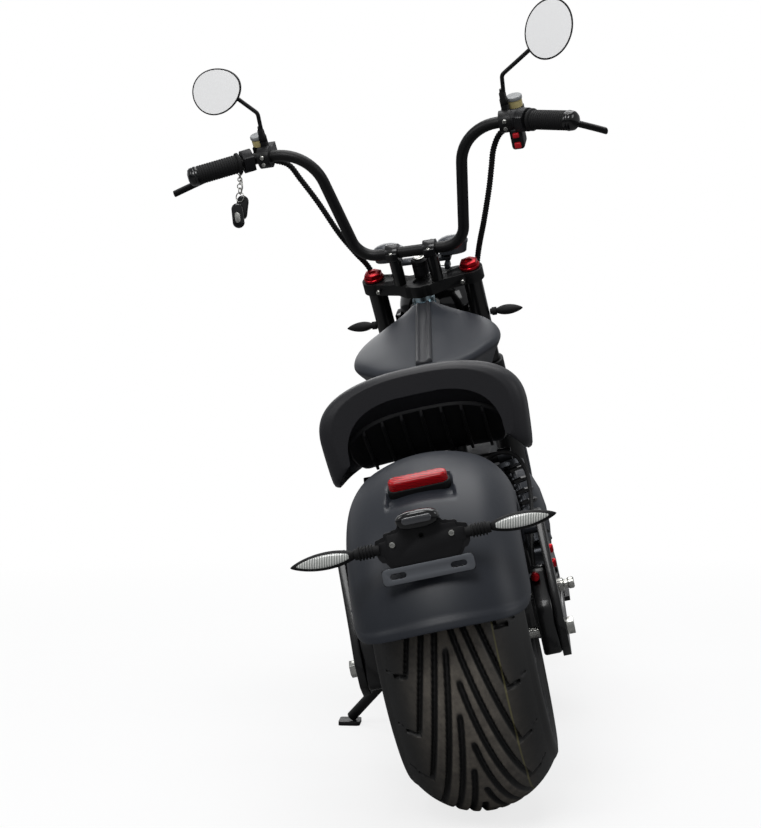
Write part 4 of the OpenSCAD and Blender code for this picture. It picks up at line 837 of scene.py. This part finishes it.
# Handlebar: one steel tube bent up, out and back, in black powder coat, in two clamps.
bar_corners = [(0, 0, 64), (106, 0, 64), (150, 0, 303), (262, 0, 303), (366, -62, 311)]
half_way = (128, 0, 183.5)
bar_line = np.vstack([rounded([bar_corners[0], bar_corners[1], half_way], 46, 9), rounded([half_way, bar_corners[2], bar_corners[3]], 84, 12)[1:-1]])
bar_line = np.vstack([bar_line, rounded(bar_corners[2:], 24, 5)[1:]])
bar_line = np.vstack([bar_line[:0:-1] * [-1, 1, 1], bar_line[1:]])
bar = drawn_tube("bar", bar_line, 11, 24, aside=(0, 1, 0))
fit_piece(bar, "high_handlebar", ON_FORK, "steering", satin_black, ("handlebar",), 50)
eased_copy("bar_risers", "bar_riser_clamps", 0.0015, "steering", gloss_black)

# Grips: ribbed black rubber sleeves with a flange inside and a polished weight outside.
GRIP_DIR = np.array([104, -62, 8]) / np.linalg.norm([104, -62, 8])
GRIP_START = np.array([366, -62, 311]) - GRIP_DIR * 92
ON_GRIP = aim_z(GRIP_START, GRIP_DIR)
grip_line = [(11.2, -0.2), (20.5, -0.2), (21, 1), (21, 4), (20, 5.5), (17.6, 6.5)]
for k in range(15):
    z = 9 + 5.0 * k
    grip_line += [(17.4, z), (18.2, z + 0.8), (18.2, z + 3.2), (17.4, z + 4.0)]
grip_line += [(17.4, 85), (17.4, 86), (11.2, 86), (11.2, -0.2)]
sleeve = turned("grip", [(0, -0.2)] + grip_line[:-2] + [(0, 86)], 40)
settle(sleeve, ON_GRIP)
fit_piece(with_other_side(sleeve), "rubber_grips", ON_FORK, "steering", black_rubber, ("grips",), 35)
weight = turned("weight", [(0, 84), (16, 84), (18.6, 86), (19, 89), (18.2, 92), (17.6, 93), (18.2, 94), (17.6, 98), (15, 101.5), (9, 103.6), (0, 104)], 40)
settle(weight, ON_GRIP)
fit_piece(with_other_side(weight), "bar_end_weights", ON_FORK, "steering", shiny_abs, (), 35)

# Levers, master cylinders, switch pods and fluid cups: cast and moulded controls clamped inside the grips.
lever_line = smooth_line([(262, 36, 299), (276, 37, 292), (300, 34, 285), (325, 26, 280), (350, 15, 277.5), (375, -3, 275.5), (400, -24, 274.5), (424, -46, 274)], 40)
lever = drawn_tube("lever", lever_line, lambda i: 6.8 if i else 5.5, 14, 0.66, aside=(0, 1, 0))
modify(lever, "BEVEL", width=0.002, segments=3, limit_method="ANGLE", angle_limit=math.radians(60))
pivot = turned("pivot", [(0, -8), (6, -8), (6.5, -7), (6.5, 7), (6, 8), (0, 8)], 24)
settle(pivot, Matrix.Translation((0.262, 0.036, 0.3)))
fit_piece(with_other_side(together([lever, pivot])), "brake_lever_blades", ON_FORK, "steering", satin_black, ("brake_levers",), 45)
eased_copy("brake_masters", "master_cylinders", 0.0022, "steering", satin_black)
eased_copy("switch_pods", "switch_pod_shells", 0.0025, "steering", moulded_black)
bpy.ops.mesh.primitive_cube_add(size=1, location=(0.2535, 0.002, 0.2715), scale=(0.024, 0.044, 0.042))
box = bpy.context.object
bpy.ops.object.transform_apply(location=True, rotation=True, scale=True)
modify(box, "BEVEL", width=0.006, segments=4)
clamp = turned("clamp", [(11.3, -11), (19, -11), (20, -10), (20, 10), (19, 11), (11.3, 11), (11.3, -11)], 36)
settle(clamp, Matrix.Translation((0.2535, 0, 0.303)) @ Matrix.Rotation(math.pi / 2, 4, "Y"))
fit_piece(together([box, clamp]), "right_switch_housing", ON_FORK, "steering", moulded_black, (), 35)
button_red = finish_of("moulded_red_abs", "#c4202a", 0.3, 0.002, 0.02, 0.1)
buttons = []
for z, tall in ((281, 9), (261, 11)):
    bpy.ops.mesh.primitive_cube_add(size=1, location=(0.254, -0.0215, z * 0.001), scale=(0.012, 0.007, tall * 0.001))
    button = bpy.context.object
    bpy.ops.object.transform_apply(location=True, rotation=True, scale=True)
    modify(button, "BEVEL", width=0.002, segments=3)
    buttons.append(button)
fit_piece(together(buttons), "red_switch_buttons", ON_FORK, "steering", button_red, (), 35)
fluid = finish_of("brake_fluid_cup", "#d3c48a", 0.16, 0.004, 0.01, 0.15, coat=0.5)
cup = turned("cup", [(0, 0), (12.5, 0), (14, 1.5), (14, 15), (13, 16), (0, 16)], 32)
settle(cup, Matrix.Translation((0.254, 0.035, 0.3153)))
fit_piece(with_other_side(cup), "fluid_cups", ON_FORK, "steering", fluid, ("reservoirs",), 40)
lid_grey = finish_of("grey_moulded_lid", "#8b8d8e", 0.3, 0.002, 0.03, 0.1)
lid_line = [(0, 15.5), (15, 15.5), (15.2, 16.5), (15.2, 20.5), (14.2, 21.8), (0, 22)]
lid = turned("lid", lid_line, 32)
settle(lid, Matrix.Translation((0.254, 0.035, 0.3153)))
fit_piece(with_other_side(lid), "fluid_cup_lids", ON_FORK, "steering", lid_grey, (), 40)
clear_coatless = bright_steel
perch = []
for x, z, r in ((238, 297, 4.2), (238, 311, 4.2)):
    bolt = cap_screw("bolt", r, 3)
    settle(bolt, aim_z((x, -20.8, z - 0.0), (0, -1, 0)))
    perch.append(bolt)
fit_piece(with_other_side(together(perch)), "perch_bolts", ON_FORK, "steering", bright_steel, (), 35)

# Mirrors: rounded black shells on thin bent stalks, each in a rubber boot, with mirror glass painted as a pale, faintly
# glowing white, a painted reflection of the pale surround.
painted_reflection_glass = bpy.data.materials.new("silvered_glass_painted_reflection")
painted_reflection_glass.use_nodes = True
mirror_shader = painted_reflection_glass.node_tree.nodes["Principled BSDF"]
where = add_node(painted_reflection_glass, "ShaderNodeTexCoord")
# Painted reflection: the glass is a pale rough white with a slow mottle, standing in for the white surround it
# reflects.
slow = add_node(painted_reflection_glass, "ShaderNodeTexNoise", {"Vector": (where, "Object"), "Scale": 6.0})
painted_reflection_tone = add_node(painted_reflection_glass, "ShaderNodeMix", {0: (slow, 0), 6: hex_colour("#ececec"), 7: hex_colour("#fbfbfb")}, data_type="RGBA")
painted_reflection_glass.node_tree.links.new(painted_reflection_tone.outputs[2], mirror_shader.inputs["Base Color"])
mirror_shader.inputs["Metallic"].default_value = 0.0
mirror_shader.inputs["Roughness"].default_value = 0.5
# Painted reflection: a faint white glow lifts the glass as the reflected surround would.
mirror_shader.inputs["Emission Color"].default_value = (1, 1, 1, 1)
mirror_shader.inputs["Emission Strength"].default_value = 0.2
mirror_rows = [[(-238, 15, 331.3), (-234, 15, 388), (-268, 19, 424), (-300, 12, 446), 50, 43, 14],
               [(238, 15, 331.3), (244, 15, 388), (322, 17, 439), (346, 12, 462), 43, 56, -24]]
shells, glasses = [], []
for base, bend, end, head, wide, tall, tilt in mirror_rows:
    lean_egg = 0.1 if head[0] < 0 else 0.0
    stalk_line = rounded([base, bend, end], 12, 6)
    shells.append(drawn_tube("stalk", stalk_line, 4, 14, aside=(0, 1, 0)))
    boot = turned("boot", [(0, 0), (7.5, 0), (8, 1), (8, 10), (6.8, 12), (6.6, 22), (5, 24), (4.2, 30), (0, 30)], 28)
    settle(boot, Matrix.Translation(Vector(base) * 0.001))
    shells.append(boot)
    ON_HEAD = Matrix.Translation(Vector(head) * 0.001) @ Matrix.Rotation(math.pi / 2 - RAKE + math.radians(6), 4, "X") @ Matrix.Rotation(math.radians(tilt), 4, "Z")
    egg = [(wide * math.cos(a), tall * math.sin(a) * (1 - lean_egg * math.cos(a))) for a in np.radians(np.arange(0, 360, 6))]
    rows = [[(x * g, y * g, z) for x, y in egg] for g, z in ((0, -14), (0.5, -13.6), (0.8, -12), (0.94, -8.5), (0.995, -4), (1.0, 0), (0.985, 1.6), (0.95, 1.6), (0.94, 0.2), (0, 0.2))]
    shell = skin_over("shell", rows)
    settle(shell, ON_HEAD)
    shells.append(shell)
    bpy.ops.mesh.primitive_circle_add(vertices=len(egg), radius=1, fill_type="NGON")
    glass = bpy.context.object
    for v, (x, y) in zip(glass.data.vertices, egg):
        v.co = (x * 0.00094, y * 0.00094, 0.0003)
    edit(glass)
    bpy.ops.mesh.extrude_region_move(TRANSFORM_OT_translate={"value": (0, 0, 0.0011)})
    bpy.ops.mesh.select_all(action="SELECT")
    bpy.ops.mesh.normals_make_consistent(inside=False)
    bpy.ops.object.mode_set(mode="OBJECT")
    settle(glass, ON_HEAD)
    glasses.append(glass)
fit_piece(together(shells), "mirror_shells", ON_FORK, "steering", satin_black, ("mirrors",), 45)
fit_piece(together(glasses), "mirror_faces", ON_FORK, "steering", painted_reflection_glass, ("mirror_glass",), 30)

# Gauges: two round dark housings on a bar ahead of the handlebar, under domed covers.
gauge_black = finish_of("dark_gauge_housing", "#3c3f44", 0.3, 0.002, 0.05, 0.12)
gauges = []
for s in (1, -1):
    pod = turned("pod", [(0, -20), (24, -20), (27, -18), (30.5, -3), (32.5, 0), (33, 4), (31.5, 7), (28, 8), (0, 8)], 48)
    dome = turned("dome", [(0, 17), (10, 16.4), (19, 14.2), (25, 11), (28, 7.6), (28, 6), (0, 6)], 48)
    for part in (pod, dome):
        settle(part, Matrix.Translation((s * 0.0662, 0.064, 0.038)) @ Matrix.Rotation(math.radians(-18), 4, "X"))
        gauges.append(part)
for x, y, z, wide, deep, tall in ((0, 60, 12, 120, 20, 8), (53, 44, 2.6, 10, 20, 12), (-53, 44, 2.6, 10, 20, 12)):
    bpy.ops.mesh.primitive_cube_add(size=1, location=(x * 0.001, y * 0.001, z * 0.001), scale=(wide * 0.001, deep * 0.001, tall * 0.001))
    stay = bpy.context.object
    bpy.ops.object.transform_apply(location=True, rotation=True, scale=True)
    modify(stay, "BEVEL", width=0.0015, segments=2)
    gauges.append(stay)
fit_piece(together(gauges), "gauge_pods", ON_FORK, "steering", gauge_black, ("gauges",), 40)

# Headlight: a polished black bowl on two ears, with a plated rim, a bright reflector and a domed clear glass.
ON_LIGHT = ON_FORK @ Matrix.Translation((0, 0.092, -0.11)) @ Matrix.Rotation(-math.pi / 2 - RAKE + math.radians(4), 4, "X")
bowl = turned("bowl", [(0, -62), (22, -60), (42, -53), (58, -42), (70, -26), (77, -8), (79, 4), (80, 20), (76, 22), (75, 14), (75, 4), (73, -6),
                       (66, -24), (55, -38), (40, -49), (20, -56), (0, -58)], 72)
settle(bowl, Matrix.Translation((0, 0.092, -0.11)) @ Matrix.Rotation(-math.pi / 2 - RAKE + math.radians(4), 4, "X"))
ears = []
for s in (1, -1):
    bpy.ops.mesh.primitive_cube_add(size=1, location=(s * 0.076, 0.067, -0.11), scale=(0.012, 0.03, 0.016))
    ear = bpy.context.object
    bpy.ops.object.transform_apply(location=True, rotation=True, scale=True)
    modify(ear, "BEVEL", width=0.002, segments=3)
    ears.append(ear)
fit_piece(together([bowl] + ears), "headlight_shell", ON_FORK, "steering", shiny_abs, ("headlight",), 40)
rim = turned("rim", [(75, 14), (80.5, 14), (81.5, 17), (81.5, 21), (79, 25.5), (75.5, 27), (73.8, 25), (75, 22), (75, 14)], 72)
fit_piece(rim, "headlight_rim", ON_LIGHT, "steering", bright_steel, (), 40)
reflector = turned("reflector", [(0, -30), (14, -29), (30, -24), (46, -14), (58, -2), (68, 10), (74, 15), (75, 13), (69, 7), (59, -6), (46, -18), (30, -28),
                                 (14, -33), (0, -34)], 72)
fit_piece(reflector, "headlight_reflector", ON_LIGHT, "steering", bright_steel, (), 40)
bulb = turned("bulb", [(0, 4), (5, 3), (9, 0), (11, -6), (11, -24), (13, -29), (0, -31)], 32)
bulb_glass = finish_of("frosted_bulb_glass", "#e6e2d6", 0.3, 0.002, 0.01, 0.04, shine=0.5)
fit_piece(bulb, "headlight_bulb", ON_LIGHT, "steering", bulb_glass, (), 40)
lamp_glass = finish_of("clear_lamp_glass", "#f4f6f6", 0.06, 0.006, 0.02, 0.02, scuff=0.02, shine=0.5)
lamp_glass.node_tree.nodes["Principled BSDF"].inputs["Transmission Weight"].default_value = 0.9
glass = turned("glass", [(0, 33), (25, 32), (48, 28.5), (66, 23), (74.5, 18), (74.5, 15.5), (66, 20), (48, 25.5), (25, 29), (0, 30)], 72)
fit_piece(glass, "headlight_glass", ON_LIGHT, "steering", lamp_glass, (), 40)

# Key switch: a black barrel between the gauges with a bright ring on its face.
key_ring = turned("key_ring", [(6, 0), (10.5, 0), (11, 1), (11, 3.4), (9.5, 4), (7, 2), (6, 1.4)], 32)
settle(key_ring, Matrix.Translation((0.004, 0.024, 0.0345)))
fit_piece(key_ring, "key_switch_ring", ON_FORK, "steering", bright_steel, (), 40)
key_switch = turned("key_switch", [(0, 0), (15, 0), (15, 22), (17, 24), (17, 30), (14, 33), (12, 33), (12, 30), (0, 30)], 36)
settle(key_switch, Matrix.Translation((0.004, 0.024, 0.002)))
fit_piece(key_switch, "key_switch", ON_FORK, "steering", moulded_black, (), 40)

# Front mudguard and front indicators.
wear(satin_charcoal, "front_fender")
pod = leaf_pod("pod", 10, 56, 10, 14)
stalk = ribbed_stalk("stalk", -1, 13, 6)
front_pods = together([pod, stalk])
settle(front_pods, Matrix.Translation((LEG_OUT + 0.02, FORK_OUT + 0.008, -0.112)))
fit_piece(with_other_side(front_pods), "front_indicator_pods", ON_FORK, "steering", black_rubber, ("front_indicators",), 50)
eased_copy("front_caliper", "front_brake_caliper", 0.0015, "steering", rim_black)

# Looms: corrugated black sleeves that carry the wires and hoses down from the controls.
loom_rows = [[(236, 24, 281), (214, 26, 268), (197, 26, 240), (186, 26, 205), (172, 26, 160), (148, 30, 94), (130, 46, 50), (116, 62, 14), (102.2, 62.2, -30)],
             [(-236, 24, 286), (-206, 26, 270), (-190, 26, 236), (-168, 28, 180), (-146, 34, 108), (-128, 48, 54), (-114, 62, 14), (-102.2, 62.2, -30)]]
looms = [drawn_tube("loom", smooth_line(row, 260), lambda i: 5.9 if i % 4 < 2 else 5.1, 12, aside=(0, 1, 0)) for row in loom_rows]
fit_piece(together(looms), "corrugated_looms", ON_FORK, "steering", black_rubber, ("control_looms",), 60)

# Keys: a steel ring hangs from the left grip, with a short chain of links and two black fobs.
HUNG = ON_FORK @ Matrix.Translation((-0.2898, -0.0167, 0.2914)) @ Matrix.Rotation(-TURN, 4, "Z") @ Matrix.Rotation(-RAKE, 4, "X") @ Matrix.Rotation(LEAN, 4, "Y")
links = []
for k, (z, r) in enumerate(((-5, 5), (-12, 4), (-18, 4), (-24, 4), (-31, 5), (-40, 6), (-52, 9))):
    bpy.ops.mesh.primitive_torus_add(major_radius=r * 0.001, minor_radius=0.0011, major_segments=24, minor_segments=8,
                                     location=(0, 0, z * 0.001), rotation=(math.pi / 2, 0, math.radians(35 + 80 * k)))
    links.append(bpy.context.object)
bpy.ops.mesh.primitive_torus_add(major_radius=0.0138, minor_radius=0.0012, major_segments=32, minor_segments=8, location=(0.002, 0, 0.0125), rotation=(0.2, math.pi / 2, 0))
links.append(bpy.context.object)
clip = drawn_tube("clip", [(1, 0, -18), (4, 0, -22), (4.5, 0, -34), (2, 0, -44), (0, 0, -47)], 1.6, 10, aside=(0, 1, 0))
fit_piece(together(links + [clip]), "key_chain", HUNG, "steering", bright_steel, ("key_fobs",), 50)
fobs = []
for x, y, z, turn in ((3, 6, -72, 0.12), (-3, -6, -88, -0.1)):
    fob = pill_slab("fob", 24, 11.5, -5, 5, 3.2)
    settle(fob, Matrix.Translation((x * 0.001, y * 0.001, z * 0.001)) @ Matrix.Rotation(turn, 4, "Y") @ Matrix.Rotation(math.pi / 2, 4, "Y") @ Matrix.Rotation(math.pi / 2, 4, "X"))
    fobs.append(fob)
fit_piece(together(fobs), "key_fob_shells", HUNG, "steering", shiny_abs, (), 40)
oval = pill_slab("oval", 10, 5, -5.6, -4.6, 0.3)
settle(oval, Matrix.Translation((-0.003, -0.0062, -0.092)) @ Matrix.Rotation(-0.1, 4, "Y") @ Matrix.Rotation(math.pi / 2, 4, "Y") @ Matrix.Rotation(-math.pi / 2, 4, "X"))
fit_piece(oval, "key_fob_plate", HUNG, "steering", bright_steel, (), 40)
